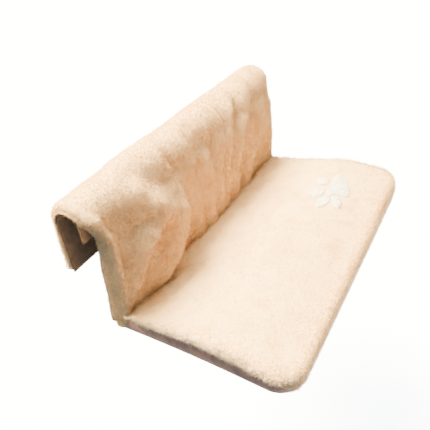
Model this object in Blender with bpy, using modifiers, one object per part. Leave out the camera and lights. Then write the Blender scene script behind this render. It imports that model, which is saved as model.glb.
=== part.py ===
"""Bedside cat perch: a padded seat that hooks over a horizontal pipe rail.

Metres, +Z up. The origin is on the rail's axis, midway along the perch. X runs along the rail,
the seat stands out towards -Y and the bed is on the +Y side.
Two hook rods go over the rail and down into the frame's uprights, where a clamp holds them at the
height that is wanted. A plush cover runs over the rail, down the back and over the padded seat.
"""

import math

import bmesh
import bpy
from mathutils import Matrix, Vector

# The rail and the overall size
RAIL_DIAMETER = 0.0334
SEAT_WIDTH = 0.466
SEAT_DEPTH = 0.245
DROP = 0.147
ROLL_OVERHANG = 0.015
FLAP_DROP = 0.080
HEIGHT_TRAVEL = 0.040

# Clearances
GAP = 0.0003
OVERRUN = 0.005

# Steel frame
HOOK_ROD = 0.008
SLEEVE_WALL = 0.0007
TUBE = 0.012
LOOP_WALL = 0.0012
BAR = 0.008
LOOP_BEND = 0.045
LEG_GRIP = 0.035
UPRIGHT_TOP_DROP = 0.040
BACK_BAR_RISE = 0.0549
RIB_PLACE = 0.085

# Corner fittings and their screws
FITTING_WALL = 0.0018
FITTING_SOCKET = 0.026
FITTING_BLOCK = 0.0085
FITTING_REAR = 0.0165
FITTING_ROUND = 0.0005
SOCKET_STEP = 0.0006
SCREW_SHANK = 0.003
SCREW_HEAD = 0.0055
SCREW_HEAD_HEIGHT = 0.0018
SCREW_REACH = 0.005
SCREW_PLACE = 0.018

# Height clamps
COLLAR_WALL = 0.0012
COLLAR_LENGTH = 0.020
BOSS = 0.0095
BOSS_LENGTH = 0.0155
CLAMP_SCREW = 0.005
KNOB = 0.0138
KNOB_LENGTH = 0.009
KNOB_LOBE = 0.0006
KNOB_LOBES = 6

# Rear legs of the hooks, from the flap's hem up: the room under a leg, its end cap, the tie bar
# and the sleeve's end. The front sleeves stop short of the uprights.
LEG_END_ROOM = 0.012
CAP_LENGTH = 0.006
CAP_END = 0.0015
TIE_ROOM = 0.0013
SLEEVE_ROOM = 0.0025
SLEEVE_FRONT_ROOM = 0.006

# Padding and cloth
PLUSH = 0.0055
SEAT_PLUSH = 0.003
CLOTH_EASE = 0.0008
BACK_PLUSH = 0.0035
LINING = 0.001
BAND = 0.0015
BOARD = 0.003
FOAM = 0.007
FOAM_EASE = 0.0015
WAD_FRONT = 0.018
WAD_ROOM = 0.0015
FLAP_HEM = 0.0035

# Shape of the padded seat
CROWN = 0.005
SIDE_RISE = 0.011
PIPING_DROP = 0.004
EDGE_ROUND = 0.010
DRAW_IN = 0.002
FLAT_REAR = 0.016

# Back and roll
SPLIT_DROP = 0.020
FOOT_FOLD = 0.006
FOOT_FADE = 0.030
ROLL_END_ROUND = 0.004
ROLL_END_TUCK = 0.002
ROLL_END_STEP = 0.0004

# Folds of the back, as ridges from one point to another: x share, height share, x share, height
# share, how far each end stands out and how wide it is in metres. The x shares are of half the
# seat's width and the height shares are of the drop, from the rail's axis down.
NEAR_RIDGE = 0.010
BULGE = 0.026
MID_FOLD = 0.008
PLEAT = 0.0045
FOLD_WIDTH = 0.011
BULGE_WIDTH = 0.026
PLEAT_WIDTH = 0.007
FOLD_POWER = 5
FOLD_SHARES = (
    ((-0.965, 0.02), (-0.965, -1.00), (NEAR_RIDGE, NEAR_RIDGE), FOLD_WIDTH),
    ((-0.76, 0.10), (-0.50, -0.42), (MID_FOLD, BULGE), BULGE_WIDTH),
    ((-0.50, -0.42), (-0.40, -0.78), (BULGE, MID_FOLD), BULGE_WIDTH),
    ((-0.62, -0.60), (-0.86, -0.92), (MID_FOLD, PLEAT), FOLD_WIDTH),
    ((-0.26, 0.14), (-0.22, -0.75), (MID_FOLD, MID_FOLD), FOLD_WIDTH),
    ((0.10, 0.16), (0.06, -0.80), (MID_FOLD, MID_FOLD), BULGE_WIDTH),
    ((0.31, 0.12), (0.22, -0.85), (PLEAT, MID_FOLD), PLEAT_WIDTH),
    ((0.53, 0.12), (0.38, -0.90), (PLEAT, MID_FOLD), PLEAT_WIDTH),
    ((0.75, 0.12), (0.60, -0.90), (PLEAT, MID_FOLD), PLEAT_WIDTH),
    ((0.955, 0.02), (0.955, -1.00), (PLEAT, NEAR_RIDGE), FOLD_WIDTH),
)

# Zip
ZIP_MARGIN = 0.0168
ZIP_TAPE = 0.020
ZIP_TAPE_THICK = 0.0006
ZIP_TEETH = 0.0042
ZIP_TEETH_THICK = 0.0014
ZIP_PITCH = 0.006
TOOTH_SHARE = 0.6
ZIP_STOP = 0.003
SLIDER_LENGTH = 0.011
SLIDER_WIDTH = 0.0086
SLIDER_PLATE = 0.001
PULL_LENGTH = 0.024
PULL_WIDTH = 0.006
PULL_THICK = 0.0010
PULL_EYE = 0.0016

# Loops that tie the back's lining to the cross bar
TIE_WIDTH = 0.020
TIE_THICK = 0.0008
TIE_PLACE = 0.110

# Paw print: its thickness, its place from the seat's side and front edge, and its size. The shares
# are of its size: the points round the large pad, and the centre, the half axes and the turn in
# degrees of each toe.
PAW_THICK = 0.0012
PAW_INSET = 0.093
PAW_SETBACK = 0.0785
PAW_SIZE = 0.030
PAW_MAIN_SHARES = (
    (1.16, 0.32), (0.95, -0.06), (0.60, -0.40), (0.06, -0.74), (-0.50, -0.84),
    (-0.66, -0.50), (-0.68, -0.16), (-0.95, 0.06), (-0.64, 0.38), (0.02, 0.34), (0.60, 0.42),
)
PAW_TOE_SHARES = (
    (0.20, 0.87, 0.37, 0.37, 0),
    (-0.87, 0.83, 0.44, 0.36, -42),
    (-1.53, 0.23, 0.50, 0.27, -23),
    (-1.27, -0.40, 0.50, 0.31, 20),
)

# Round shapes: sides, and points along a bend
SIDES = 20
SMALL_SIDES = 12
SCREW_SIDES = 10
TUBE_SIDES_RESOLUTION = 4
BEND_POINTS = 7
ARCH_POINTS = 12

# Steps of the cloth's grids
SIDE_STEPS = 8
BEND_STEPS = 8
FRONT_STEPS = 10
REAR_STEPS = 8
RING_SHARES = (0.14, 0.36, 0.56, 0.74, 0.88)
ROLL_STEPS = 27
DRAPE_STEPS = 56
DRAPE_ROWS = 10
PAW_STEPS = 22
RISE_SHARE = 1.2
WRAP_SHARE = 0.8
BAND_END_SHARE = 0.93

# Everything below is worked out from the sizes above
half_seat = SEAT_WIDTH / 2
half_roll = half_seat + ROLL_OVERHANG
rail_r = RAIL_DIAMETER / 2
tube_r = TUBE / 2
rod_r = HOOK_ROD / 2
sleeve_r = rod_r + GAP + SLEEVE_WALL
lining_in = rail_r + GAP
lining_out = lining_in + LINING
arch_r = lining_out + GAP + sleeve_r
roll_in = arch_r + sleeve_r + GAP
roll_out = roll_in + PLUSH
fitting_r = tube_r + GAP + FITTING_WALL
socket_r = fitting_r - SOCKET_STEP
leg_x = half_seat - BAND - GAP - fitting_r
leg_y = -arch_r

plush_z = -DROP
foam_top = plush_z - SEAT_PLUSH - GAP
foam_bottom = foam_top - FOAM
board_top = foam_bottom - GAP
board_bottom = board_top - BOARD
tube_z = board_bottom - GAP - tube_r
under_top = tube_z - fitting_r - GAP
under_bottom = under_top - LINING

back_rear = leg_y - fitting_r - GAP
back_front = back_rear - LINING
drape_rear = back_front - GAP
drape_base = drape_rear - BACK_PLUSH
front_y = drape_base - SEAT_DEPTH
seat_rear = drape_rear - GAP
front_tube_y = front_y + SEAT_PLUSH + CLOTH_EASE + tube_r
corner_r = LOOP_BEND + tube_r + CLOTH_EASE + SEAT_PLUSH
side_end = front_y + corner_r
split_z = -SPLIT_DROP
upright_bore = rod_r + GAP
rear_face = leg_y + tube_r + GAP + LINING
leg_drop = UPRIGHT_TOP_DROP + HEIGHT_TRAVEL + LEG_GRIP
clamp_z = -(UPRIGHT_TOP_DROP + COLLAR_LENGTH / 2)
rear_leg_drop = FLAP_DROP - LEG_END_ROOM
cap_bottom_drop = rear_leg_drop + GAP + CAP_END
tie_drop = cap_bottom_drop - CAP_LENGTH - TIE_ROOM - BAR / 2
tie_top_drop = tie_drop - BAR / 2
back_bar_z = tube_z + BACK_BAR_RISE
piping_z = plush_z - 2 * PIPING_DROP
rear_band_x = leg_x - FITTING_SOCKET - GAP
half_zip = rear_band_x - ZIP_MARGIN
zip_z = (plush_z + under_bottom) / 2


def colour(name, rgb, roughness, metallic=0.0):
    """A plain material with the finish that the part has."""
    mat = bpy.data.materials.new(name)
    mat.use_nodes = True
    shader = mat.node_tree.nodes["Principled BSDF"]
    shader.inputs["Base Color"].default_value = (*rgb, 1.0)
    shader.inputs["Roughness"].default_value = roughness
    shader.inputs["Metallic"].default_value = metallic
    mat.diffuse_color = (*rgb, 1.0)
    return mat


def clear_scene():
    for obj in list(bpy.data.objects):
        bpy.data.objects.remove(obj, do_unlink=True)


def collection(name):
    made = bpy.data.collections.new(name)
    bpy.context.scene.collection.children.link(made)
    return made


clear_scene()
PARTS = collection("bedside_cat_perch")
CUTTERS = collection("cutters")

black_steel = ("black_powder_coat", (0.020, 0.020, 0.022), 0.45, 0.0)
black_plastic = ("black_plastic", (0.025, 0.025, 0.027), 0.5, 0.0)
zinc = ("zinc_plated_steel", (0.55, 0.55, 0.56), 0.35, 1.0)
plush = ("cream_plush", (0.84, 0.68, 0.50), 0.95, 0.0)
plush_side = ("cream_plush_side", (0.62, 0.46, 0.33), 0.95, 0.0)
taupe = ("taupe_cloth", (0.25, 0.17, 0.14), 0.9, 0.0)
lining_cloth = ("tan_lining", (0.40, 0.26, 0.16), 0.9, 0.0)
white_plush = ("white_plush", (0.92, 0.91, 0.90), 0.9, 0.0)
wadding = ("white_wadding", (0.80, 0.80, 0.78), 0.95, 0.0)
brown_board = ("brown_board", (0.35, 0.24, 0.15), 0.85, 0.0)
zip_tape_cloth = ("zip_tape_cloth", (0.20, 0.15, 0.12), 0.85, 0.0)


def finish(obj, look):
    """Link the object, give it its material and smooth its round sides."""
    PARTS.objects.link(obj)
    mat = bpy.data.materials.get(look[0]) or colour(*look)
    obj.data.materials.append(mat)
    if obj.type == "MESH":
        obj.data.shade_smooth()
        obj.data.set_sharp_from_angle(angle=math.radians(35))
    return obj


def cutter(obj):
    obj.hide_render = True
    obj.display_type = "WIRE"
    CUTTERS.objects.link(obj)
    return obj


def cut(obj, tool, operation="DIFFERENCE"):
    """A Boolean modifier with the exact solver."""
    mod = obj.modifiers.new(operation.lower(), "BOOLEAN")
    mod.operation = operation
    mod.object = tool
    mod.solver = "EXACT"
    return obj


def mesh_object(name, bm):
    mesh = bpy.data.meshes.new(name)
    bm.to_mesh(mesh)
    bm.free()
    return bpy.data.objects.new(name, mesh)


def turn_to(direction, place):
    """The matrix that turns +Z to a direction and moves the origin to a place."""
    turn = Vector((0, 0, 1)).rotation_difference(Vector(direction)).to_matrix().to_4x4()
    return Matrix.Translation(place) @ turn


def turned(name, profile, place, direction=(0, 0, 1), sides=SIDES):
    """A profile of (radius, height) points, down its outer side, turned about the piece's own Z."""
    bm = bmesh.new()
    verts = [bm.verts.new((r, 0, z)) for r, z in profile]
    for one, two in zip(verts, verts[1:] + verts[:1]):
        if max(one.co.x, two.co.x) > 0:
            bm.edges.new((one, two))
    obj = mesh_object(name, bm)
    mod = obj.modifiers.new("turn", "SCREW")
    mod.steps = mod.render_steps = sides
    mod.use_merge_vertices = True
    mod.merge_threshold = GAP / 10
    obj.matrix_world = turn_to(direction, place)
    return obj


def rod(name, radius, length, place, direction=(0, 0, 1), sides=SIDES):
    """A plain round bar from a place, along a direction."""
    bm = bmesh.new()
    lift = Matrix.Translation((0, 0, length / 2))
    bmesh.ops.create_cone(
        bm, cap_ends=True, segments=sides, radius1=radius, radius2=radius, depth=length, matrix=lift
    )
    obj = mesh_object(name, bm)
    obj.matrix_world = turn_to(direction, place)
    return obj


def pipe(name, outer, inner, length, place, direction=(0, 0, 1)):
    """A round tube open at both ends."""
    profile = [(outer, length), (outer, 0), (inner, 0), (inner, length)]
    return turned(name, profile, place, direction)


def box(name, low, high, bevel=0.0):
    """A block between two corners, with its edges rounded when a bevel is given."""
    bm = bmesh.new()
    bmesh.ops.create_cube(bm, size=1.0)
    size = Vector(high) - Vector(low)
    middle = (Vector(high) + Vector(low)) / 2
    bmesh.ops.scale(bm, vec=size, verts=bm.verts)
    bmesh.ops.translate(bm, vec=middle, verts=bm.verts)
    obj = mesh_object(name, bm)
    if bevel:
        mod = obj.modifiers.new("round", "BEVEL")
        mod.width = bevel
        mod.segments = 2
    return obj


def bent(name, points, radius):
    """A round bar along a path, as a mesh with welded caps."""
    curve = bpy.data.curves.new(name, "CURVE")
    curve.dimensions = "3D"
    curve.bevel_depth = radius
    curve.bevel_resolution = TUBE_SIDES_RESOLUTION
    curve.use_fill_caps = True
    spline = curve.splines.new("POLY")
    spline.points.add(len(points) - 1)
    for point, co in zip(spline.points, points):
        point.co = (*co, 1.0)
    guide = bpy.data.objects.new(name + "_guide", curve)
    bpy.context.scene.collection.objects.link(guide)
    depsgraph = bpy.context.evaluated_depsgraph_get()
    mesh = bpy.data.meshes.new_from_object(guide.evaluated_get(depsgraph))
    bpy.data.objects.remove(guide, do_unlink=True)
    bm = bmesh.new()
    bm.from_mesh(mesh)
    bmesh.ops.remove_doubles(bm, verts=bm.verts, dist=GAP / 100)
    bmesh.ops.recalc_face_normals(bm, faces=bm.faces)
    bpy.data.meshes.remove(mesh)
    return mesh_object(name, bm)


def outline_plate(name, outlines, low, high):
    """A flat plate between two heights from one outline, and others for its holes."""
    curve = bpy.data.curves.new(name, "CURVE")
    curve.dimensions = "2D"
    curve.fill_mode = "BOTH"
    curve.extrude = (high - low) / 2
    for outline in outlines:
        spline = curve.splines.new("POLY")
        spline.points.add(len(outline) - 1)
        for point, co in zip(spline.points, outline):
            point.co = (co[0], co[1], 0, 1.0)
        spline.use_cyclic_u = True
    guide = bpy.data.objects.new(name + "_guide", curve)
    bpy.context.scene.collection.objects.link(guide)
    depsgraph = bpy.context.evaluated_depsgraph_get()
    mesh = bpy.data.meshes.new_from_object(guide.evaluated_get(depsgraph))
    bpy.data.objects.remove(guide, do_unlink=True)
    bm = bmesh.new()
    bm.from_mesh(mesh)
    bmesh.ops.remove_doubles(bm, verts=bm.verts, dist=GAP / 100)
    bmesh.ops.recalc_face_normals(bm, faces=bm.faces)
    bmesh.ops.translate(bm, vec=(0, 0, (high + low) / 2), verts=bm.verts)
    bpy.data.meshes.remove(mesh)
    return mesh_object(name, bm)


def skin(name, rings, last_cap=True):
    """A loft through rings of equal point counts, with its end rings filled."""
    bm = bmesh.new()
    rows = [[bm.verts.new(p) for p in ring] for ring in rings]
    for one, two in zip(rows, rows[1:]):
        for i in range(len(one)):
            j = (i + 1) % len(one)
            bm.faces.new((one[j], one[i], two[i], two[j]))
    bm.faces.new(rows[0])
    if last_cap:
        bm.faces.new(rows[-1])
        bmesh.ops.recalc_face_normals(bm, faces=bm.faces)
    return mesh_object(name, bm)


def arc(centre, radius, start, end, count):
    """Points of an arc in a plane, angles in degrees, both ends included."""
    angles = [math.radians(start + (end - start) * i / count) for i in range(count + 1)]
    return [(centre[0] + radius * math.cos(a), centre[1] + radius * math.sin(a)) for a in angles]


def smooth(t):
    """A step from 0 to 1 that starts and ends level."""
    t = min(max(t, 0.0), 1.0)
    return t * t * (3 - 2 * t)


def fold(x, z):
    """How far the back's cloth stands out at a place: the smooth maximum of its ridges."""
    total = 0.0
    for (x0, z0), (x1, z1), (out0, out1), width in FOLD_SHARES:
        ax, az = x0 * half_seat, z0 * DROP
        bx, bz = x1 * half_seat - ax, z1 * DROP - az
        t = min(max(((x - ax) * bx + (z - az) * bz) / (bx * bx + bz * bz), 0.0), 1.0)
        away = math.hypot(x - ax - t * bx, z - az - t * bz) / width
        rise = (out0 + (out1 - out0) * t) * math.exp(-away * away)
        total = (total**FOLD_POWER + rise**FOLD_POWER) ** (1 / FOLD_POWER)
    fade = smooth((z + DROP) / FOOT_FADE)
    return min(total, FOOT_FOLD) * (1 - fade) + total * fade


def seat_share(y):
    """0 at the flat strip by the back, 1 at the front edge."""
    rear = seat_rear - FLAT_REAR
    return min(max((rear - y) / (rear - front_y), 0.0), 1.0)


def side_rise(y):
    """How far the padded sides swell upwards between their ends."""
    return SIDE_RISE * abs(math.sin(math.pi * seat_share(y) ** RISE_SHARE))


def seat_top(x, y):
    """Height of the plush over the seat: a crown on sides that swell in the middle."""
    across = 1 - min(abs(x) / half_seat, 1.0) ** 4
    return plush_z + side_rise(y) + CROWN * across * abs(math.sin(math.pi * seat_share(y)))


def drawn_x(y):
    """Half the seat's width at a depth, drawn in between the rear and the front bend."""
    share = min(max((seat_rear - y) / (seat_rear - side_end), 0.0), 1.0)
    return half_seat - DRAW_IN * math.sin(math.pi * share)


def seat_edge(inset, rear, sides=SIDE_STEPS, bend=BEND_STEPS, front=FRONT_STEPS):
    """The seat's outline from its rear left corner round the front to its rear right corner."""
    points = []
    for i in range(sides):
        y = rear + (side_end - rear) * i / sides
        points.append((-drawn_x(y) + inset, y))
    centre_x = half_seat - corner_r
    for x, y in arc((-centre_x, side_end), corner_r - inset, 180, 270, bend):
        points.append((x, y))
    for i in range(1, front):
        points.append((-centre_x + 2 * centre_x * i / front, front_y + inset))
    for x, y in arc((centre_x, side_end), corner_r - inset, 270, 360, bend):
        points.append((x, y))
    for i in range(sides - 1, -1, -1):
        y = rear + (side_end - rear) * i / sides
        points.append((drawn_x(y) - inset, y))
    return points


def wrap_share(x, y):
    """0 along the sides and 1 where the plush goes down over the front edge."""
    if y > side_end:
        return 0.0
    turn = math.atan2(side_end - y, max(abs(x) - half_seat + corner_r, 0.0))
    return smooth(turn / (math.pi / 2) / WRAP_SHARE)


def skirt_z(x, y):
    """Lower edge of the plush at the seat's edge."""
    piping = piping_z + side_rise(y)
    return piping + (under_bottom + GAP - piping) * wrap_share(x, y)


def with_rear(points, rear, count=REAR_STEPS):
    """Close an outline along its straight rear edge."""
    left, right = points[0][0], points[-1][0]
    return points + [(right + (left - right) * i / count, rear) for i in range(1, count)]


def across(points, low, high, name):
    """A solid whose section in the plane across the rail is (y, z) points, from low to high X."""
    return skin(name, [[(x, y, z) for y, z in points] for x in (low, high)])


def make_hooks():
    """The two rods over the rail, their sleeves and caps, and the bar that ties them."""
    arch = arc((0, 0), arch_r, 180, 0, ARCH_POINTS)
    for side, name in ((-1, "left"), (1, "right")):
        x = side * leg_x
        path = [(-arch_r, -leg_drop)] + arch + [(arch_r, -rear_leg_drop)]
        finish(bent(f"hook_{name}", [(x, y, z) for y, z in path], rod_r), black_steel)

        path = [(-arch_r, SLEEVE_FRONT_ROOM - UPRIGHT_TOP_DROP)] + arch
        path.append((arch_r, SLEEVE_ROOM - tie_top_drop))
        longer = [(path[0][0], path[0][1] - OVERRUN)] + path[1:-1]
        longer += [(path[-1][0], path[-1][1] - OVERRUN)]
        bore = bent(f"sleeve_bore_{name}", [(x, y, z) for y, z in longer], rod_r + GAP)
        sleeve = bent(f"hook_sleeve_{name}", [(x, y, z) for y, z in path], sleeve_r)
        finish(cut(sleeve, cutter(bore)), black_plastic)

        bore_r = rod_r + GAP
        profile = [(0, CAP_END), (bore_r, CAP_END), (bore_r, CAP_LENGTH), (sleeve_r, CAP_LENGTH)]
        profile += [(sleeve_r, 0), (0, 0)]
        place = (x, arch_r, -cap_bottom_drop)
        finish(turned(f"hook_tip_cap_{name}", profile, place), black_plastic)

    tie = rod("rear_tie_bar", BAR / 2, 2 * leg_x, (-leg_x, arch_r, -tie_drop), (1, 0, 0))
    for side, name in ((-1, "left"), (1, "right")):
        start = (side * leg_x, arch_r, -tie_drop - BAR)
        cut(tie, cutter(rod(f"tie_seat_{name}", rod_r + GAP, 2 * BAR, start)))
    finish(tie, black_steel)


def screw_places(side):
    """Where a corner fitting's three screws meet its sockets, and the way each one points in."""
    x = side * leg_x
    inner = side * (leg_x - socket_r)
    return (
        ("front", (inner, leg_y - SCREW_PLACE, tube_z), (side, 0, 0)),
        ("upper", (inner, leg_y, tube_z + SCREW_PLACE), (side, 0, 0)),
        ("inner", (x - side * SCREW_PLACE, leg_y - socket_r, tube_z), (0, 1, 0)),
    )


def screw_mesh():
    """One pan-head screw down +Z: its head stands just off the surface at zero height."""
    shank, head = SCREW_SHANK / 2, SCREW_HEAD / 2
    top = -GAP - SCREW_HEAD_HEIGHT
    profile = [(0, top), (head, top), (head, -GAP), (shank, -GAP), (shank, SCREW_REACH)]
    profile += [(0, SCREW_REACH)]
    bm = bmesh.new()
    verts = [bm.verts.new((r, 0, z)) for r, z in profile]
    edges = [bm.edges.new(pair) for pair in zip(verts, verts[1:])]
    bmesh.ops.spin(
        bm, geom=verts + edges, axis=(0, 0, 1), angle=math.tau, steps=SCREW_SIDES, use_merge=True
    )
    bmesh.ops.remove_doubles(bm, verts=bm.verts, dist=GAP / 100)
    bmesh.ops.recalc_face_normals(bm, faces=bm.faces)
    mesh = bpy.data.meshes.new("screw")
    bm.to_mesh(mesh)
    bm.free()
    return mesh


def make_frame():
    """The uprights, the seat's loop, the bars and the corner fittings that join them."""
    start = FITTING_BLOCK + GAP
    mesh = screw_mesh()
    holes = {}
    shank = SCREW_SHANK / 2
    for side, name in ((-1, "left"), (1, "right")):
        for where, place, direction in screw_places(side):
            screw = bpy.data.objects.new(f"frame_screw_{where}_{name}", mesh)
            screw.matrix_world = turn_to(direction, place)
            finish(screw, zinc)
            back = Vector(place) - Vector(direction) * OVERRUN
            length = OVERRUN + SCREW_REACH + GAP
            hole = rod(f"hole_{where}_{name}", shank + GAP, length, back, direction, SMALL_SIDES)
            holes[where, name] = cutter(hole)

    loop = [(-leg_x, leg_y - start)]
    loop += arc((-leg_x + LOOP_BEND, front_tube_y + LOOP_BEND), LOOP_BEND, 180, 270, BEND_POINTS)
    loop += arc((leg_x - LOOP_BEND, front_tube_y + LOOP_BEND), LOOP_BEND, 270, 360, BEND_POINTS)
    loop += [(leg_x, leg_y - start)]
    tube = bent("seat_loop_tube", [(x, y, tube_z) for x, y in loop], tube_r)
    inside = [(-leg_x, leg_y)] + loop[1:-1] + [(leg_x, leg_y)]
    bore = bent("loop_bore", [(x, y, tube_z) for x, y in inside], tube_r - LOOP_WALL)
    cut(tube, cutter(bore))
    for name in ("left", "right"):
        cut(tube, holes["front", name])
    finish(tube, black_steel)

    half = leg_x - start
    bar = pipe("rear_cross_tube", tube_r, tube_r - LOOP_WALL, 2 * half, (-half, leg_y, tube_z), (1, 0, 0))
    for name in ("left", "right"):
        cut(bar, holes["inner", name])
    finish(bar, black_steel)

    rear_seat = rod("rib_seat_rear", tube_r + GAP, 2 * leg_x, (-leg_x, leg_y, tube_z), (1, 0, 0))
    front_seat = rod("rib_seat_front", tube_r + GAP, 2 * leg_x, (-leg_x, front_tube_y, tube_z), (1, 0, 0))
    cutter(rear_seat)
    cutter(front_seat)
    rib_z = tube_z + tube_r - BAR / 2
    for side, name in ((-1, "left"), (1, "right")):
        place = (side * RIB_PLACE, leg_y, rib_z)
        rib = rod(f"seat_rib_{name}", BAR / 2, leg_y - front_tube_y, place, (0, -1, 0))
        cut(rib, rear_seat)
        finish(cut(rib, front_seat), black_steel)

    cross = rod("back_cross_bar", BAR / 2, 2 * leg_x, (-leg_x, leg_y, back_bar_z), (1, 0, 0))
    for side, name in ((-1, "left"), (1, "right")):
        x = side * leg_x
        foot = tube_z + start
        upright = pipe(
            f"upright_{name}", tube_r, upright_bore, -UPRIGHT_TOP_DROP - foot, (x, leg_y, foot)
        )
        seat = cutter(rod(f"bar_seat_{name}", tube_r + GAP, 2 * TUBE, (x, leg_y, back_bar_z - TUBE)))
        cut(cross, seat)
        far = side * (leg_x - BOSS_LENGTH - OVERRUN)
        length = BOSS_LENGTH + OVERRUN
        clamp_hole = cutter(
            rod(f"clamp_hole_{name}", CLAMP_SCREW / 2 + GAP, length, (far, leg_y, clamp_z), (side, 0, 0))
        )
        cut(upright, clamp_hole)
        cut(upright, holes["upper", name])
        finish(upright, black_steel)
        make_collar(side, name, clamp_hole)
        make_fitting(side, name, holes)
    finish(cross, black_steel)


def make_collar(side, name, clamp_hole):
    """The clamp collar at an upright's top: a ring with a threaded boss towards the middle."""
    x = side * leg_x
    foot = -UPRIGHT_TOP_DROP - COLLAR_LENGTH
    ring = rod(f"upright_collar_{name}", tube_r + GAP + COLLAR_WALL, COLLAR_LENGTH, (x, leg_y, foot))
    boss = rod(f"boss_{name}", BOSS / 2, BOSS_LENGTH, (x, leg_y, clamp_z), (-side, 0, 0))
    cut(ring, cutter(boss), "UNION")
    below = (x, leg_y, foot - OVERRUN)
    bore = rod(f"collar_bore_{name}", tube_r + GAP, COLLAR_LENGTH + 2 * OVERRUN, below)
    cut(ring, cutter(bore))
    finish(cut(ring, clamp_hole), black_steel)


def make_fitting(side, name, holes):
    """A moulded corner: a block with three sockets and a flat rear face that bears on the bed."""
    x = side * leg_x
    low = (x - fitting_r, leg_y - fitting_r, tube_z - fitting_r)
    high = (x + fitting_r, leg_y + FITTING_REAR, tube_z + fitting_r)
    block = box(f"corner_fitting_{name}", low, high, FITTING_ROUND)
    ways = {"front": (0, -1, 0), "upper": (0, 0, 1), "inner": (-side, 0, 0)}
    centre = (x, leg_y, tube_z)
    for where, direction in ways.items():
        socket = rod(f"socket_{where}_{name}", socket_r, FITTING_SOCKET, centre, direction)
        cut(block, cutter(socket), "UNION")
    for where, direction in ways.items():
        place = Vector(centre) + Vector(direction) * FITTING_BLOCK
        depth = FITTING_SOCKET - FITTING_BLOCK + OVERRUN
        cut(block, cutter(rod(f"bore_{where}_{name}", tube_r + GAP, depth, place, direction)))
        cut(block, holes[where, name])
    finish(block, black_plastic)


def make_clamps():
    """The screw that holds a hook's leg in each upright, and its lobed knob."""
    tip = leg_x - rod_r - GAP
    knob_face = leg_x - BOSS_LENGTH - GAP
    knob_end = knob_face - KNOB_LENGTH
    count = SMALL_SIDES * KNOB_LOBES // 2
    turns = [math.tau * i / count for i in range(count)]
    edge = [KNOB / 2 - KNOB_LOBE * (1 - math.cos(KNOB_LOBES * a)) for a in turns]
    lobes = [(r * math.cos(a), r * math.sin(a)) for r, a in zip(edge, turns)]
    hole = arc((0, 0), CLAMP_SCREW / 2 + GAP, 0, 360, SMALL_SIDES)[:-1]
    for side, name in ((-1, "left"), (1, "right")):
        place = (side * knob_end, leg_y, clamp_z)
        screw = rod(f"clamp_screw_{name}", CLAMP_SCREW / 2, tip - knob_end, place, (side, 0, 0), SMALL_SIDES)
        finish(screw, zinc)
        knob = outline_plate(f"clamp_knob_{name}", [lobes, hole], 0, KNOB_LENGTH)
        knob.matrix_world = turn_to((side, 0, 0), place)
        finish(knob, black_plastic)


def make_padding():
    """The stiff board on the frame, the foam on it, and the wadding in the roll."""
    edge = half_seat - max(BAND + DRAW_IN + GAP, SEAT_PLUSH + CLOTH_EASE)
    notch_x = leg_x - fitting_r - GAP
    notch_y = leg_y - FITTING_SOCKET - GAP
    outline = [(-x, y) for x, y in ((notch_x, seat_rear), (notch_x, notch_y), (edge, notch_y))]
    bend = edge - (half_seat - corner_r)
    outline += arc((corner_r - half_seat, side_end), bend, 180, 270, BEND_POINTS)
    outline += arc((half_seat - corner_r, side_end), bend, 270, 360, BEND_POINTS)
    outline += [(edge, notch_y), (notch_x, notch_y), (notch_x, seat_rear)]
    finish(outline_plate("seat_board", [outline], board_bottom, board_top), brown_board)

    inset = SEAT_PLUSH + DRAW_IN / 2
    rear = seat_rear - SEAT_PLUSH - GAP
    rim = with_rear(seat_edge(inset, rear), rear)
    middle = (rear + front_y) / 2
    rows = [[(x, y, foam_bottom) for x, y in rim]]
    rows += [[(x, y, foam_bottom + FOAM / 2 + side_rise(y)) for x, y in rim]]
    for share in reversed(RING_SHARES):
        ring = [(x * share, middle + (y - middle) * share) for x, y in rim]
        rows.append([(x, y, seat_top(x, y) - SEAT_PLUSH - FOAM_EASE) for x, y in ring])
    finish(skin("seat_foam", rows), wadding)

    inner, outer = lining_out + GAP, roll_in - GAP
    section = [(-outer, -WAD_FRONT)] + arc((0, 0), outer, 180, 0, ARCH_POINTS)
    low = WAD_ROOM - tie_top_drop
    section += [(outer, low), (inner, low)]
    section += arc((0, 0), inner, 0, 180, ARCH_POINTS) + [(-inner, -WAD_FRONT)]
    reach = leg_x - sleeve_r - GAP
    finish(across(section, -reach, reach, "roll_wadding"), wadding)


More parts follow.
